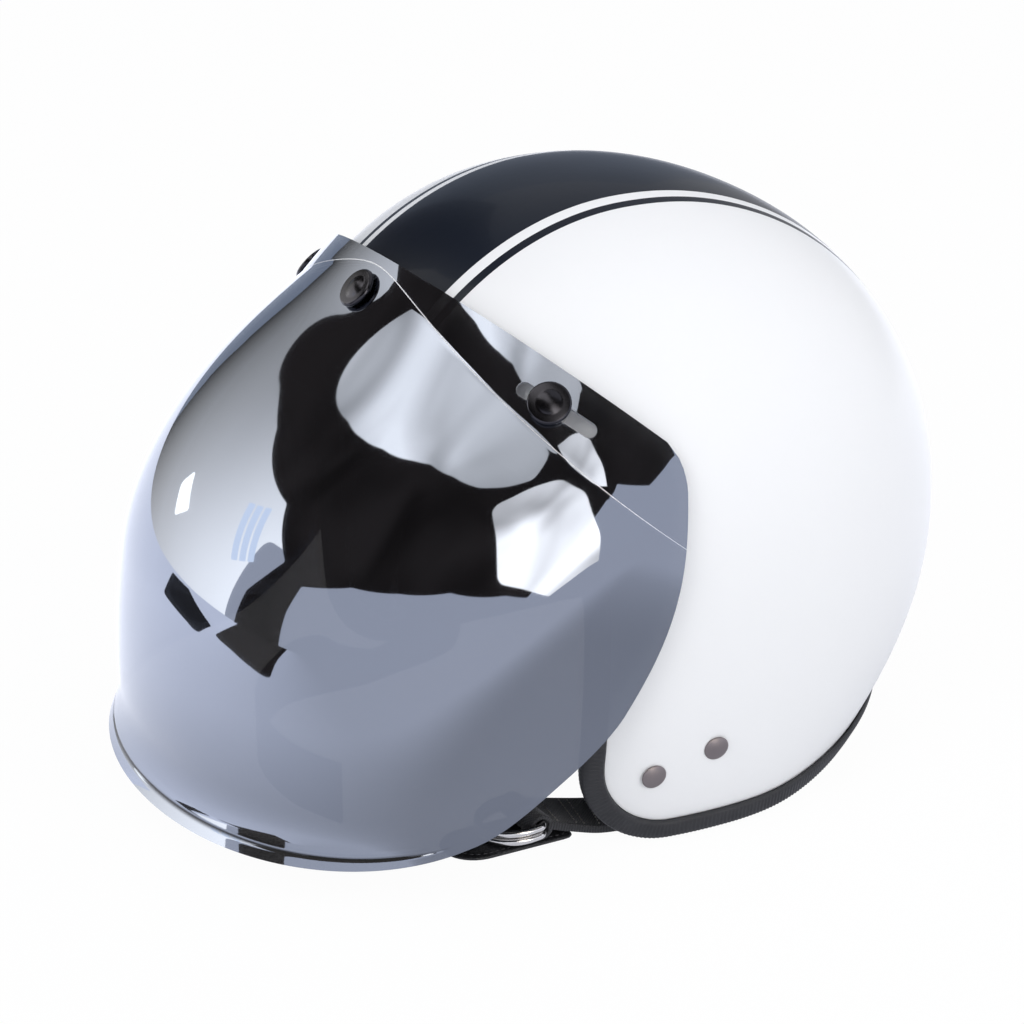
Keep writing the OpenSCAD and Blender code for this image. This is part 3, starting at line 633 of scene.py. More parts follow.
def visor_reach(a, x):
    turn = visor_turn(a)
    bent = 1 - (abs(x) / visor_half(a)) ** visor_n
    return turn + (visor_front(a) - turn) * bent ** (1 / visor_n)


def in_space(a, x, out):
    tilt = math.radians(a)
    return Vector((x, pivot_y - out * math.cos(tilt), pivot_z + out * math.sin(tilt)))


def visor_point(a, share):
    """A point of the outer face: on the section at angle a, from one side edge (-1) to the other."""
    rear = visor_rear(a)
    front = creased_front(a, share)
    last = math.atan2(visor_width(a, rear, front), rear - visor_hub)
    turn = share * last

    def inside(reached):
        out = visor_hub + reached * math.cos(turn)
        return out < front and reached * abs(math.sin(turn)) < visor_width(a, out, front)

    reached = furthest(inside, 280.0, 34)
    return in_space(a, reached * math.sin(turn), visor_hub + reached * math.cos(turn))


def snap_matrix(x):
    """The frame of a snap's seat: Z out of the visor, X along its slot."""
    step = 0.5
    spot = in_space(snap_angle, x, visor_reach(snap_angle, x))
    across = (in_space(snap_angle, x + step, visor_reach(snap_angle, x + step))
              - in_space(snap_angle, x - step, visor_reach(snap_angle, x - step)))
    up = (in_space(snap_angle + step, x, visor_reach(snap_angle + step, x))
          - in_space(snap_angle - step, x, visor_reach(snap_angle - step, x)))
    z = across.cross(up).normalized()
    tilt = math.radians(snap_angle)
    fan = Vector((0, math.sin(tilt), math.cos(tilt)))
    along = fan.cross(z)
    x_axis = (along - z * along.dot(z)).normalized()
    y_axis = z.cross(x_axis)
    rows = Matrix((x_axis, y_axis, z)).transposed().to_4x4()
    return Matrix.Translation(place(spot)) @ rows @ Matrix.Scale(0.001, 4)


band_rows, lens_rows, lip_rows, lens_across = 14, 106, 26, 180
lip_band = 1.6
groove_at, groove_wide, groove_depth = visor_low - 0.85, 0.11, 0.55


def visor_angle(v, share):
    """Rows are close together near the lip, and one of them is the crease."""
    row = v * (lens_rows + lip_rows)
    crease = crease_at(share)
    if row <= band_rows:
        return visor_top - (visor_top - crease) * row / band_rows
    if row <= lens_rows:
        return crease - (crease + visor_low - lip_band) * (row - band_rows) / (lens_rows - band_rows)
    return -visor_low + lip_band * (1 - (row - lens_rows) / lip_rows)


visor_bm = bmesh.new()
bmesh.ops.create_grid(visor_bm, x_segments=lens_across, y_segments=lens_rows + lip_rows, size=0.5)
# the groove layer holds the lip groove's depth; the mirror coat paints it dark as shade
groove_shade_layer = visor_bm.verts.layers.float.new("groove")
fan_layer = visor_bm.verts.layers.float.new("fan")
for vert in visor_bm.verts:
    share = 2 * vert.co.x
    a = visor_angle(0.5 - vert.co.y, share)
    point = visor_point(a, share)
    fade = clamp((0.86 - abs(share)) / 0.1)
    groove = fade * math.exp(-((a + groove_at) / groove_wide) ** 2)
    hub = in_space(a, 0, visor_hub)
    vert.co = place(point + (hub - point).normalized() * groove_depth * groove)
    vert[groove_shade_layer] = groove
    vert[fan_layer] = (a - crease_at(share)) / 100
point_outwards(visor_bm, place(core))

crease_half = 0.0005
paint = new_paint("mirror_coated_polycarbonate")
tint = paint.ramp(paint.noise(14), (0.30, 0.33, 0.39), (0.32, 0.345, 0.405))
# painted shade: the lip's groove is coloured nearly black
groove_painted_shade = paint.mix(paint.attribute("groove"), tint, (0.012, 0.012, 0.016, 1))
# painted highlight: a pale, rougher line is coloured along the crease
crease_highlight = paint.math("COMPARE", paint.attribute("fan"), 0, crease_half)
mirror_coat = paint.finish({
    "Base Color": paint.mix(crease_highlight, groove_painted_shade, (0.85, 0.87, 0.92, 1)),
    "Roughness": paint.remap(crease_highlight, (0, 1), (0.03, 0.5)), "Metallic": 1, "Alpha": 0.86})

visor = finish_piece("mirrored_visor", visor_bm, mirror_coat)
modify(visor, "sheet", "SOLIDIFY", thickness=visor_t / 1000, offset=-1)

cutters_bm = bmesh.new()
for side in (-1, 1):
    made = bmesh.ops.create_cone(
        cutters_bm, cap_ends=True, segments=48, radius1=slot_w / 2, radius2=slot_w / 2,
        depth=16)["verts"]
    for vert in made:
        if abs(vert.co.x) > 1e-4:
            vert.co.x += slot_behind * side if vert.co.x * side > 0 else -slot_ahead * side
    bmesh.ops.transform(cutters_bm, verts=made, matrix=snap_matrix(side * snap_x))
slot_cutter = finish_piece("slot_cutter", cutters_bm, mirror_coat)


def cut_out(piece, cutter):
    """Cuts a shape out of a piece, and puts what its modifiers make into its own mesh."""
    modify(piece, "cut", "BOOLEAN", operation="DIFFERENCE", solver="EXACT", object=cutter)
    bpy.context.view_layer.update()
    made = bpy.data.meshes.new_from_object(piece.evaluated_get(bpy.context.evaluated_depsgraph_get()))
    old = piece.data
    piece.modifiers.clear()
    piece.data = made
    bpy.data.meshes.remove(old)


cut_out(visor, slot_cutter)
bpy.data.objects.remove(slot_cutter)
modify(visor, "round_edges", "BEVEL", width=0.0005, segments=2, limit_method="ANGLE",
       angle_limit=math.radians(50), harden_normals=True)
declare(visor, "visor", "visor_mirror", "visor_lens")

# ---------- snap caps ----------
# Pressed brass caps, plated dark nickel and polished: a low dome whose edge is rolled over. The
# centre one is riveted through the visor, the side ones through their slots.

cap_d, cap_h, cap_seat = 16.5, 3.0, 0.5


def turned(profile, matrix, steps):
    """A shape turned about Z from a profile of (radius, height) that starts and ends on the axis."""
    bm = bmesh.new()
    line = [bm.verts.new((radius, 0, height)) for radius, height in profile]
    edges = [bm.edges.new(pair) for pair in zip(line, line[1:])]
    bmesh.ops.spin(bm, geom=line + edges, axis=(0, 0, 1), cent=(0, 0, 0), dvec=(0, 0, 0),
                   angle=2 * math.pi, steps=steps, use_merge=True, use_duplicate=False)
    bmesh.ops.remove_doubles(bm, verts=bm.verts, dist=1e-4)
    bmesh.ops.recalc_face_normals(bm, faces=bm.faces)
    bmesh.ops.transform(bm, verts=bm.verts, matrix=matrix)
    return bm


def arc(centre, radius, start, end, count):
    """Points (radius, height) along an arc in the profile's plane, angles in degrees."""
    turns = (math.radians(start + (end - start) * k / (count - 1)) for k in range(count))
    return [(centre[0] + radius * math.cos(t), centre[1] + radius * math.sin(t)) for t in turns]


def plated_metal(name, colour, roughness, scratches):
    """Polished or satin metal with fine scratches and a little tarnish."""
    paint = new_paint(name)
    patches = paint.noise(160, 3)
    paint.bump(paint.noise(700, 5), scratches, 0.0001)
    return paint.finish({
        "Base Color": paint.ramp(patches, [c * 0.8 for c in colour], colour), "Metallic": 1,
        "Roughness": paint.remap(patches, (0, 1), (roughness * 0.7, roughness * 1.4))})


dark_nickel = plated_metal("polished_dark_nickel", (0.055, 0.054, 0.062), 0.22, 0.05)
bead = 1.26
dome = arc((0, cap_h - 12.6), 12.6 + 0.3, 90, 66, 7)
cap_profile = dome + arc((cap_d / 2 - bead, cap_h - 1.6), bead, 72, -55, 9)
cap_profile += [(cap_d / 2 - 1.4, 0.15), (cap_d / 2 - 2.0, 0.0), (0, 0.0)]
for name, x, body in (
        ("centre", 0, "visor"), ("left", snap_x, "left_snap"), ("right", -snap_x, "right_snap")):
    seat = snap_matrix(x) @ Matrix.Translation((0, 0, cap_seat))
    cap = finish_piece(name + "_polished_cap", turned(cap_profile, seat, 64), dark_nickel)
    declare(cap, body, "cap_nickel", name + "_snap_cap")


def finish_node(names, material):
    """Gives CAD pieces whose shape is right their finish."""
    for name in names:
        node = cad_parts[name]
        if not node.material_slots:
            node.data.materials.append(material)
        for material_slot in node.material_slots:
            material_slot.material = material


bright_nickel = plated_metal("bright_nickel", (0.62, 0.61, 0.60), 0.16, 0.08)
zinc = plated_metal("zinc_plated_steel", (0.42, 0.43, 0.45), 0.38, 0.2)
finish_node(("centre_stud", "left_stud", "right_stud", "centre_snap_socket", "left_snap_socket",
             "right_snap_socket"), bright_nickel)
finish_node(("left_strap_hanger", "right_strap_hanger", "rivet_washers"), zinc)

paint = new_paint("grey_nylon")
nylon = paint.finish({
    "Base Color": paint.ramp(paint.noise(300), (0.52, 0.53, 0.55), (0.62, 0.63, 0.65)),
    "Roughness": 0.45})
finish_node(("left_snap_washer", "right_snap_washer"), nylon)

# ---------- strap rivets ----------
# Two steel rivets a side hold the strap's hanger under the shell. Their low domed heads are
# plated in a satin taupe; the shank and the set tail are inside.

rivet_at = (Vector((0, -33.6, 29.2)), Vector((0, -8.4, 37.5)))
rivet_d, rivet_head_h, fit = 10.0, 1.8, 0.3


def shell_at(y, z):
    size, tuck = (shell_front, front_tuck) if y < 0 else (shell_back, back_tuck)
    half_y = reach(size, z, tuck, long_n, 0)
    x = reach(shell_side, z, side_tuck, side_n, 0) * (1 - (abs(y) / half_y) ** plan_n) ** (1 / plan_n)
    return Vector((x, y, z))


anchor = (rivet_at[0] + rivet_at[1]) / 2
anchor_point = shell_at(anchor.y, anchor.z)
anchor_out = (shell_at(anchor.y + 1, anchor.z) - shell_at(anchor.y - 1, anchor.z)).cross(
    shell_at(anchor.y, anchor.z + 1) - shell_at(anchor.y, anchor.z - 1)).normalized()
anchor_along = (rivet_at[1] - rivet_at[0]).normalized()
anchor_along = (anchor_along - anchor_out * anchor_along.dot(anchor_out)).normalized()
rivet_gap = (rivet_at[1] - rivet_at[0]).length
rivet_sink = (shell_at(rivet_at[0].y, rivet_at[0].z) - anchor_point).dot(anchor_out)


def anchor_matrix(side, offset):
    """The hanger's frame, moved by an offset in it: X along the rivets, Z out of the shell."""
    rows = Matrix((anchor_along, anchor_out.cross(anchor_along), anchor_out)).transposed().to_4x4()
    left = Matrix.Translation(place(anchor_point)) @ rows @ Matrix.Scale(0.001, 4)
    left = left @ Matrix.Translation(offset)
    return left if side > 0 else Matrix.Diagonal((-1, 1, 1, 1)) @ left


def join(bm_into, bm):
    """Adds one bmesh to another."""
    held = bpy.data.meshes.new("held")
    bm.to_mesh(held)
    bm.free()
    bm_into.from_mesh(held)
    bpy.data.meshes.remove(held)


rivet_profile = arc((0, fit + rivet_head_h - rivet_d - 0.02), rivet_d, 90, 62, 8)
rivet_profile += [(rivet_d / 2, fit + 0.35), (rivet_d / 2 - 0.15, fit), (2.5, fit), (2.5, -9.5)]
rivet_profile += [(3.6, -9.6), (3.6, -10.2), (0, -10.2)]
taupe = plated_metal("satin_taupe_plating", (0.33, 0.29, 0.29), 0.42, 0.25)
rivets_bm = bmesh.new()
for side in (-1, 1):
    for end in (-1, 1):
        head = turned(rivet_profile, anchor_matrix(side, (end * rivet_gap / 2, 0, rivet_sink)), 48)
        bmesh.ops.recalc_face_normals(head, faces=head.faces)
        join(rivets_bm, head)
rivets = finish_piece("domed_rivets", rivets_bm, taupe)
declare(rivets, "helmet", "rivet_metal", "strap_rivets")

# ---------- chin strap ----------
# Woven nylon webbing, looped round a bar on each hanger. The left one is doubled and sewn, and
# folds round the bars of both D-rings; the right one lies open across the helmet's front.

web_w, web_t, bar_t, bar_drop = 25.0, 1.6, 3.0, 15.0
plate_depth, plate_t = shell_t + 4.4, 1.5
ring_wire, flap_t, floor_gap = 3.0, 2.2, 0.2
strap_end = Vector((82, -70, 0))
fold_bore = 2 * ring_wire + 0.9
fold_z = floor_gap + flap_t + fit + fold_bore / 2 + web_t
left_route = (
    ((106.7, -14.3, 17.8), (0.16, 0.94, 0.29)), ((103.2, -14.2, 13.5), (0.1, 0.97, 0.22)),
    ((98.5, -16, 9), (-0.1, 1, 0)), ((94, -22, 5.2), (-0.4, 0.9, 0)), ((90, -31, 3.4), (-0.75, 0.65, 0)),
    ((86.5, -43, 3.2), (-0.93, 0.35, 0)), ((84, -54, 5), (-1, 0.15, 0)), ((82.2, -65, 7.6), (-1, 0, 0)))
right_route = tuple(((-a, b, c), (-d, e, f)) for (a, b, c), (d, e, f) in left_route[:6]) + (
    ((-84, -60, 5.5), (0.9, 0.1, -0.3)),
    ((-80, -79, 11), (0.5, 0.1, -0.85)), ((-70, -100, 13.4), (0, 0, -1)), ((-48, -121, 13.4), (0, 0, -1)),
    ((-18, -134, 13.4), (0, 0, -1)), ((14, -136, 13.4), (0, 0, -1)), ((40, -128, 13.4), (0, 0, -1)))


def open_curve(points, t):
    """A curve through points from the first to the last, t counting points."""
    last = len(points) - 1
    i = min(int(t), last - 1)
    return catmull_rom(*(points[min(max(i + k, 0), last)] for k in (-1, 0, 1, 2)), t - i)


def web_frame(route, t):
    """The webbing's centre at t, and unit vectors along it, across it and through it."""
    middle = [Vector(spot) for spot, _ in route]
    widths = [Vector(wide).normalized() for _, wide in route]
    step = 0.05
    last = len(route) - 1
    along = (open_curve(middle, min(t + step, last)) - open_curve(middle, max(t - step, 0))).normalized()
    wide = open_curve(widths, t)
    wide = (wide - along * wide.dot(along)).normalized()
    return open_curve(middle, t), along, wide, along.cross(wide)


def flat_weave(across, lengths):
    """A grid with a row at each of the lengths along the webbing; its UV map is in metres."""
    rows = len(lengths) - 1
    bm = bmesh.new()
    bmesh.ops.create_grid(bm, x_segments=across, y_segments=rows, size=0.5)
    weave = bm.loops.layers.uv.new("UVMap")
    for face in bm.faces:
        for loop in face.loops:
            row = round((loop.vert.co.y + 0.5) * rows)
            loop[weave].uv = ((loop.vert.co.x + 0.5) * web_w / 1000, lengths[row] / 1000)
    return bm


def webbing(route, per_point=10):
    """Flat webbing along a route, as a sheet without thickness."""
    rows = (len(route) - 1) * per_point
    lengths = [0.0]
    for k in range(rows):
        here, there = (web_frame(route, (k + j) / per_point)[0] for j in (0, 1))
        lengths.append(lengths[-1] + (there - here).length)
    bm = flat_weave(10, lengths)
    for vert in bm.verts:
        centre, _, wide, _ = web_frame(route, (vert.co.y + 0.5) * rows / per_point)
        vert.co = place(centre + wide * vert.co.x * web_w)
    return bm


def woven(name, colour, rib):
    """Webbing or tape woven in a herringbone, ribs running across it; reads the UV map."""
    paint = new_paint(name)
    threads = []
    for turn in (0.6, -0.6):
        turned_map = paint.add("Mapping", {"Vector": paint.coords("UV"), "Rotation": (0, 0, turn)})
        inputs = {"Vector": turned_map.outputs[0], "Scale": rib, "Distortion": 0.8, "Detail": 1}
        threads.append(paint.add("TexWave", inputs, bands_direction="Y").outputs["Fac"])
    height = paint.math("MAXIMUM", *threads)
    paint.bump(height, 0.6, 0.0003)
    # the weave's low places are painted darker than its ribs: painted shade between the threads
    return paint.finish({
        "Base Color": paint.ramp(height, [c * 0.35 for c in colour], colour), "Roughness": 0.6,
        "Sheen Weight": 0.3, "Sheen Roughness": 0.5})


def wrap(bm_into, centre_matrix, bore):
    """A turn of webbing round a bar that lies along the matrix's X."""
    radius, steps = (bore + web_t) / 2, 40
    bm = flat_weave(6, [2 * math.pi * radius * k / steps for k in range(steps + 1)])
    for vert in bm.verts:
        turn = 2 * math.pi * (vert.co.y + 0.5)
        vert.co = Vector((vert.co.x * web_w, radius * math.sin(turn), radius * math.cos(turn)))
    bmesh.ops.remove_doubles(bm, verts=bm.verts, dist=1e-3)
    bmesh.ops.recalc_face_normals(bm, faces=bm.faces)
    bmesh.ops.transform(bm, verts=bm.verts, matrix=centre_matrix)
    join(bm_into, bm)


def thicken(piece, thick, bevel=0.35):
    """Gives a strap its thickness and soft selvages."""
    modify(piece, "thickness", "SOLIDIFY", thickness=thick / 1000, offset=0)
    modify(piece, "selvage", "BEVEL", width=bevel / 1000, segments=2, limit_method="ANGLE",
           angle_limit=math.radians(60))


black_web = woven("black_webbing", (0.022, 0.022, 0.026), 330)
at_bar = (0, -bar_drop, -plate_depth - plate_t / 2)
fold_centre = place(Vector((strap_end.x, strap_end.y, fold_z)))
fold_place = Matrix.Translation(fold_centre) @ Matrix.Scale(0.001, 4)
for name, route, thick, side, body in (
        ("left", left_route, 2 * web_t, 1, "left_chin_strap"),
        ("right", right_route, web_t, -1, "right_chin_strap")):
    strap = finish_piece(name + "_webbing", webbing(route), black_web)
    thicken(strap, thick - 0.1)
    loops_bm = bmesh.new()
    wrap(loops_bm, anchor_matrix(side, at_bar), bar_t + 2 * fit)
    if side > 0:
        wrap(loops_bm, fold_place, fold_bore)
    loops = finish_piece(name + "_webbing_loops", loops_bm, black_web)
    thicken(loops, web_t - 0.1, 0.25)
    declare(strap, body, "strap_webbing", name + "_strap")
    declare(loops, body, "strap_webbing")

# rows of lockstitch in pale thread hold the doubled webbing together behind the fold
paint = new_paint("pale_thread")
twist = paint.add("TexWave", {"Vector": paint.coords(), "Scale": 900}).outputs["Fac"]
thread = paint.finish({
    "Base Color": paint.ramp(twist, (0.28, 0.27, 0.25), (0.52, 0.50, 0.46)), "Roughness": 0.8})
stitch_bm = bmesh.new()
stitch_count, stitch_l, stitch_d = 9, 2.0, 0.5
for row_at in (4.55, 4.8, 5.05, 5.65, 5.95, 6.6):
    centre, along, wide, up = web_frame(left_route, row_at)
    if up.z < 0:
        up = -up
    for k in range(stitch_count):
        spot = centre + wide * ((k + 0.5) / stitch_count - 0.5) * (web_w - 2) + up * (web_t + 0.05)
        rows = Matrix((wide, up.cross(wide), up)).transposed().to_4x4()
        bmesh.ops.create_icosphere(stitch_bm, subdivisions=1, radius=1, matrix=(
            Matrix.Translation(place(spot)) @ rows
            @ Matrix.Diagonal((stitch_l / 2000, stitch_d / 2000, stitch_d / 2000, 1))))
stitches = finish_piece("strap_stitches", stitch_bm, thread)
declare(stitches, "left_chin_strap", "strap_webbing")

# ---------- D-rings ----------
# Two rings of 3 mm steel wire, bent and butt-welded in the middle of the straight bar, polished.

ring_r, ring_side, ring_corner = web_w / 2 + ring_wire / 2 + 0.5, 5.0, 2.2
ring_low = fold_z - ring_wire / 2 - 0.15
ring_high = fold_z + ring_wire / 2 + 0.15
ring_dip = math.asin((ring_low - floor_gap - flap_t - fit - ring_wire / 2) / (ring_r + ring_side))


def ring_path():
    """The wire's centre line in the ring's plane: bar on X, round end towards -Y."""
    path = [(x, 0.0) for x in (-6, 0, 6)]
    path += arc((ring_r - ring_corner, -ring_corner), ring_corner, 90, 0, 7)
    path += [(ring_r * math.cos(math.radians(a)), -ring_side - ring_r * math.sin(math.radians(a)))
             for a in range(0, 181, 5)]
    path += [(-x, y) for x, y in path[9:2:-1]]
    return [Vector((x, y, 0)) for x, y in path]


def tube(bm_into, path, radius, outward, around=8):
    """A closed round cord along a closed path; outward(point) is a direction off the path."""
    count = len(path)
    bm = bmesh.new()
    bmesh.ops.create_grid(bm, x_segments=count, y_segments=around, size=0.5)
    for vert in bm.verts:
        k = round((vert.co.x + 0.5) * count) % count
        turn = 2 * math.pi * (vert.co.y + 0.5)
        along = (path[(k + 1) % count] - path[k - 1]).normalized()
        up = outward(path[k])
        up = (up - along * up.dot(along)).normalized()
        vert.co = path[k] + (along.cross(up) * math.cos(turn) + up * math.sin(turn)) * radius
    bmesh.ops.remove_doubles(bm, verts=bm.verts, dist=radius / 100)
    bmesh.ops.recalc_face_normals(bm, faces=bm.faces)
    join(bm_into, bm)


bright_steel = plated_metal("polished_steel", (0.90, 0.88, 0.86), 0.2, 0.05)
for name, height in (("outer", ring_high), ("inner", ring_low)):
    lie = Matrix.Translation(place(Vector((strap_end.x, strap_end.y, height))))
    lie = lie @ Matrix.Rotation(ring_dip, 4, "X") @ Matrix.Scale(0.001, 4)
    ring_bm = bmesh.new()
    tube(ring_bm, ring_path(), ring_wire / 2, lambda spot: Vector((0, 0, 1)), 16)
    bmesh.ops.transform(ring_bm, verts=ring_bm.verts, matrix=lie)
    ring = finish_piece(name + "_wire_ring", ring_bm, bright_steel)
    declare(ring, name + "_ring", "ring_steel", name + "_d_ring")

# ---------- chin flap ----------
# A thin padded tab of leatherette under the rings keeps them off the chin. It is stitched all
# round and sewn to the strap's fold.

flap_w, flap_start, flap_l = web_w + 1, 14.0, 36.0


def padded_form(around, rings, spot):
    """A closed pad from a sphere: spot(bearing, share, side) gives where each vertex goes, with
    share running from the middle (0) to the rim (1) and side telling the two faces apart."""
    bm = bmesh.new()
    bmesh.ops.create_uvsphere(bm, u_segments=around, v_segments=2 * rings, radius=1)
    for vert in bm.verts:
        angle = math.acos(clamp(vert.co.z, -1)) / (math.pi / 2)
        side = 1 if angle < 1 else -1
        share = 1 - (1 - min(angle, 2 - angle)) ** 1.6
        vert.co = place(spot(bearing_key(vert), share, side))
    bmesh.ops.recalc_face_normals(bm, faces=bm.faces)
    return bm


def crowned(share, softness):
    """How full a pad is at a share of the way to its rim."""
    return max(1 - share ** softness, 0) ** 0.45


def stitch_row(bm_into, path, outward, every, length, width):
    """Stitches laid along a closed path, a little sunk into the cloth."""
    lengths = [(path[(k + 1) % len(path)] - path[k]).length for k in range(len(path))]
    total = sum(lengths)
    count = round(total / every)
    k, gone = 0, 0.0
    for stitch in range(count):
        at = (stitch + 0.5) * total / count
        while gone + lengths[k] < at:
            gone += lengths[k]
            k += 1
        along = (path[(k + 1) % len(path)] - path[k]).normalized()
        spot = path[k] + along * (at - gone)
        up = outward(spot)
        up = (up - along * up.dot(along)).normalized()
        rows = Matrix((along, up.cross(along), up)).transposed().to_4x4()
        bmesh.ops.create_icosphere(bm_into, subdivisions=1, radius=1, matrix=(
            Matrix.Translation(spot) @ rows @ Matrix.Diagonal((length / 2, width / 2, width / 2, 1))))


def flap_rim(bearing):
    """Distance from the flap's middle to its outline along a bearing."""
    direction = Vector((math.cos(bearing), math.sin(bearing)))
    tip = flap_l - flap_w / 2

    def inside(out):
        x, y = direction * out
        y += (flap_start - tip) / 2
        past_round_end = y < -tip and math.hypot(x, y + tip) > flap_w / 2
        return not past_round_end and both(flap_w / 2 - abs(x), flap_start - y, 3) >= 0

    return furthest(inside, flap_l, 20)


def flap_spot(bearing, share, side, inset=0.0):
    out = (flap_rim(bearing) - inset) * share
    seam = math.exp(-((flap_rim(bearing) - out - 2.5) / 0.7) ** 2)
    thick = flap_t / 2 * crowned(share, 14) * (1 - 0.3 * seam)
    y = out * math.sin(bearing) + (flap_start - flap_l + flap_w / 2) / 2
    middle = floor_gap + flap_t / 2
    return Vector((strap_end.x + out * math.cos(bearing), strap_end.y + y, middle + side * thick))


def cloth_material(name, colour, cell, depth, roughness, sheen):
    """Knitted or grained cloth: cells of a size in metres with sunk edges painted darker as shade, colour
    a little uneven.
    """
    paint = new_paint(name)
    inputs = {"Vector": paint.coords(), "Scale": 1 / cell, "Smoothness": 0.4}
    cells = paint.add("TexVoronoi", inputs, feature="SMOOTH_F1").outputs["Distance"]
    # painted shade: the cells' sunk edges are coloured darker, with a random mottle over them
    mottle_and_sunk_shade = paint.math("MULTIPLY_ADD", paint.noise(25, 4), 0.6, cells)
    light, deep = [min(c * 1.7, 1) for c in colour], [c * 0.55 for c in colour]
    paint.bump(cells, depth, cell * 0.5, invert=True)
    return paint.finish({
        "Base Color": paint.ramp(mottle_and_sunk_shade, light, deep, 0.25, 0.95), "Roughness": roughness,
        "Sheen Weight": sheen, "Sheen Roughness": 0.5})


leatherette = cloth_material("black_leatherette", (0.016, 0.016, 0.018), 0.0009, 0.35, 0.45, 0.0)
flap = finish_piece("stitched_flap", padded_form(96, 14, flap_spot), leatherette)
declare(flap, "chin_pad", "lining_cloth", "chin_flap")
dark_thread = cloth_material("dark_thread", (0.05, 0.05, 0.055), 0.0005, 0.3, 0.7, 0.1)
flap_stitch_bm = bmesh.new()
flap_path = [place(flap_spot(math.radians(a), 0.985, 1, 2.5)) for a in range(0, 360, 4)]
for spot in flap_path:
    spot.z = (floor_gap + flap_t - 0.1) / 1000
stitch_row(flap_stitch_bm, flap_path, lambda spot: Vector((0, 0, 1)), 0.0026, 0.002, 0.0004)
flap_stitches = finish_piece("flap_stitches", flap_stitch_bm, dark_thread)
declare(flap_stitches, "chin_pad", "lining_cloth")

# ---------- impact liner ----------
# One moulding of black expanded polystyrene beads, pushed into the shell and glued. It stops
# short of the edge trim and is cut back beside the ears, where the cheek pads sit.

foam_in = shell_t + 28.0
lining_gap = 0.8
lining_edge = trim_lip + 5.0
liner_low, nape_start = 92.0, 50.0


def lining_form(pole, outer, inner, keep, around, rings, far, soft_outer, soft_inner, seam):
    """A closed layer of the lining between two depths under the shell, cut to an outline;
    seam(point) says how deep a sewn channel is there, from 0 to 1."""
    middle = (outer + inner) / 2
    rims = {}

    def spot(bearing, share, side):
        if bearing not in rims:
            rims[bearing] = rim_angle(pole, bearing, middle, keep, far)
        direction = ray_dir(pole, bearing, rims[bearing] * share)
        if side > 0:
            return on_shell(direction, middle - (middle - outer) * crowned(share, soft_outer))
        full = (inner - middle) * crowned(share, soft_inner)
        sewn = seam(on_shell(direction, middle, steps=14))
        return on_shell(direction, middle + full * (1 - 0.5 * sewn))

    return padded_form(around, rings, spot)


def foam_keep(p):
    return min(helmet_keep(p, lining_edge), either(p.z - liner_low, p.y - nape_start, 25))


def no_seam(point):
    return 0.0


foam_paint = cloth_material("black_bead_foam", (0.028, 0.028, 0.030), 0.0034, 0.5, 0.75, 0.0)
liner = finish_piece("bead_foam_liner", lining_form(
    helmet_pole, shell_t + lining_gap, foam_in, foam_keep, 144, 36, 165, 30, 16, no_seam), foam_paint)
declare(liner, "helmet", "liner_foam", "impact_liner")

# ---------- comfort lining ----------
# Pads of soft foam in an air-mesh cloth, quilted in channels and piped round their edges. They
# press into the liner: one over the crown, one behind the brow, a roll at the nape, two cheeks.

air_mesh = cloth_material("charcoal_air_mesh", (0.030, 0.030, 0.034), 0.0018, 0.6, 0.85, 0.3)
piping_cloth = cloth_material("black_piping", (0.014, 0.014, 0.016), 0.0006, 0.3, 0.6, 0.15)
crown_pad_t, cheek_pad_t = 5.0, 26.0
piping_r = 1.1


def channels(distances, half_wide=2.6):
    """How deep sewn channels are at given distances from their lines."""
    return max(math.exp(-(d / half_wide) ** 2) for d in distances)


def crown_seam(p):
    return channels((abs(p.x) - 24, p.y + 18, p.y - 34)) if abs(p.x) < 80 else 0.0


def crown_keep(p):
    return both(p.z - crown_h + 48.5, 60 - abs(p.y - 8), 25)


def brow_pad_keep(p):
    return both(both(helmet_keep(p, lining_edge + 2), lining_edge + 22 - brow_keep(p), 8), -30 - p.y, 10)


def brow_seam(p):
    return channels([abs(p.x) - x for x in (14, 42, 68)])


nape_low, nape_high = lower_edge(110) + lining_edge + 8, 88.0


def nape_keep(p):
    return both(both(p.z - nape_low, nape_high - p.z, 12), p.y - nape_start - 20, 14)


def nape_seam(p):
    return channels([abs(p.x) - x for x in (20, 56)] + [p.z - (nape_low + nape_high) / 2])


def cheek_keep(p):
    return min(helmet_keep(p, trim_lip + 3), both(liner_low - 4 - fit - p.z, 34 - p.y, 20))


def cheek_seam(p):
    return channels((p.y + 34 - 0.25 * (p.z - 50), p.z - 66))


def lining_pad(name, node, pole, outer, inner, keep, far, softness, seam):
    """A padded piece of the lining with piping round its rim."""
    form = lining_form(pole, outer, inner, keep, 120, 26, far, 9, softness, seam)
    pad = finish_piece(name, form, air_mesh)
    declare(pad, "helmet", "lining_cloth", node)
    rim_depth = (outer + inner) / 2
    path = []
    for a in range(0, 360, 3):
        bearing = math.radians(a)
        angle = rim_angle(pole, bearing, rim_depth, keep, far)
        path.append(place(on_shell(ray_dir(pole, bearing, angle), rim_depth)))
    piping_bm = bmesh.new()
    tube(piping_bm, path, piping_r / 1000, lambda spot: spot - place(core))
    piping = finish_piece(name + "_piping", piping_bm, piping_cloth)
    declare(piping, "helmet", "lining_cloth")
    return pad, piping


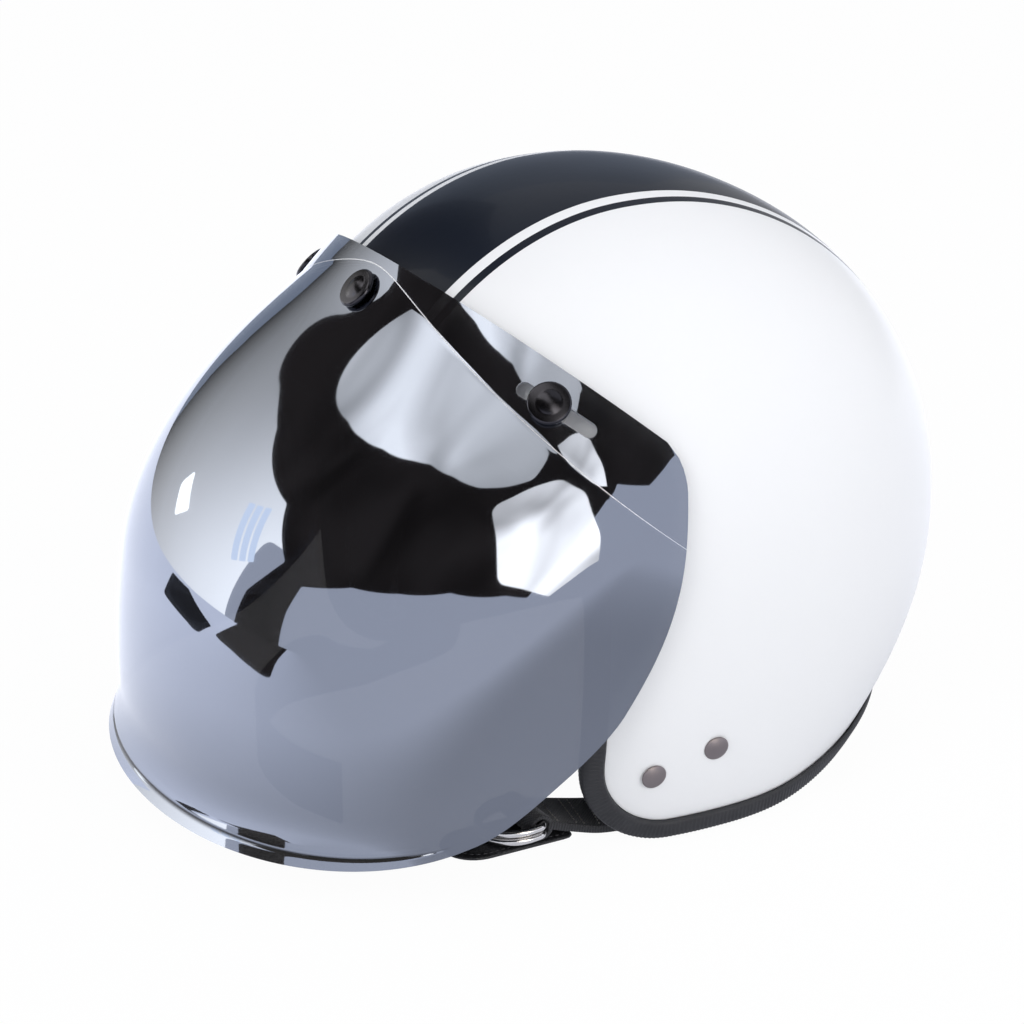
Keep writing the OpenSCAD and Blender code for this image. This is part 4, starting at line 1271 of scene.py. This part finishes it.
pad_outer, pad_inner = foam_in + lining_gap, foam_in + crown_pad_t
crown_pole = Vector((0, 0.1, 1)).normalized()
brow_pole = Vector((0, -0.79, 0.61)).normalized()
nape_pole = Vector((0, shell_back - foam_in - core.y, (nape_low + nape_high) / 2 - core.z)).normalized()
cheek_pole = Vector((1, -0.24, -0.52)).normalized()
pads = [
    lining_pad("quilted_crown_pad", "crown_pad", crown_pole, pad_outer, pad_inner, crown_keep, 165, 3,
               crown_seam)[0],
    lining_pad("quilted_brow_pad", "brow_pad", brow_pole, pad_outer, pad_inner, brow_pad_keep, 75, 4,
               brow_seam)[0],
    lining_pad("quilted_neck_roll", "neck_roll", nape_pole, pad_outer, pad_inner + 3, nape_keep, 80, 4,
               nape_seam)[0]]

cheek, cheek_piping = lining_pad(
    "left_quilted_cheek", "left_cheek_pad", cheek_pole, shell_t + lining_gap, shell_t + cheek_pad_t,
    cheek_keep, 70, 4, cheek_seam)
pocket_bm = bmesh.new()
pocket = Vector((rivet_gap + 18, bar_drop + rivet_d + 22, cheek_pad_t))
bmesh.ops.create_cube(pocket_bm, size=1, matrix=Matrix.Diagonal((*pocket, 1)))
bmesh.ops.bevel(pocket_bm, geom=pocket_bm.edges, offset=4, segments=4, profile=0.5, affect="EDGES",
                material=-1)
bmesh.ops.transform(pocket_bm, verts=pocket_bm.verts, matrix=anchor_matrix(
    1, (0, 2 - bar_drop / 2, pocket.z / 2 - plate_depth - plate_t - 14)))
bmesh.ops.recalc_face_normals(pocket_bm, faces=pocket_bm.faces)
cutter = finish_piece("pocket_cutter", pocket_bm, air_mesh)
for piece in (cheek, cheek_piping):
    cut_out(piece, cutter)
bpy.data.objects.remove(cutter)
for piece in (cheek, cheek_piping):
    other_bm = bmesh.new()
    other_bm.from_mesh(piece.data)
    bmesh.ops.scale(other_bm, vec=(-1, 1, 1), verts=other_bm.verts)
    bmesh.ops.reverse_faces(other_bm, faces=other_bm.faces)
    other = finish_piece(piece.name.replace("left", "right"), other_bm, piece.data.materials[0])
    declare(other, "helmet", "lining_cloth", *(("right_cheek_pad",) if piece is cheek else ()))
    if piece is cheek:
        pads += [cheek, other]
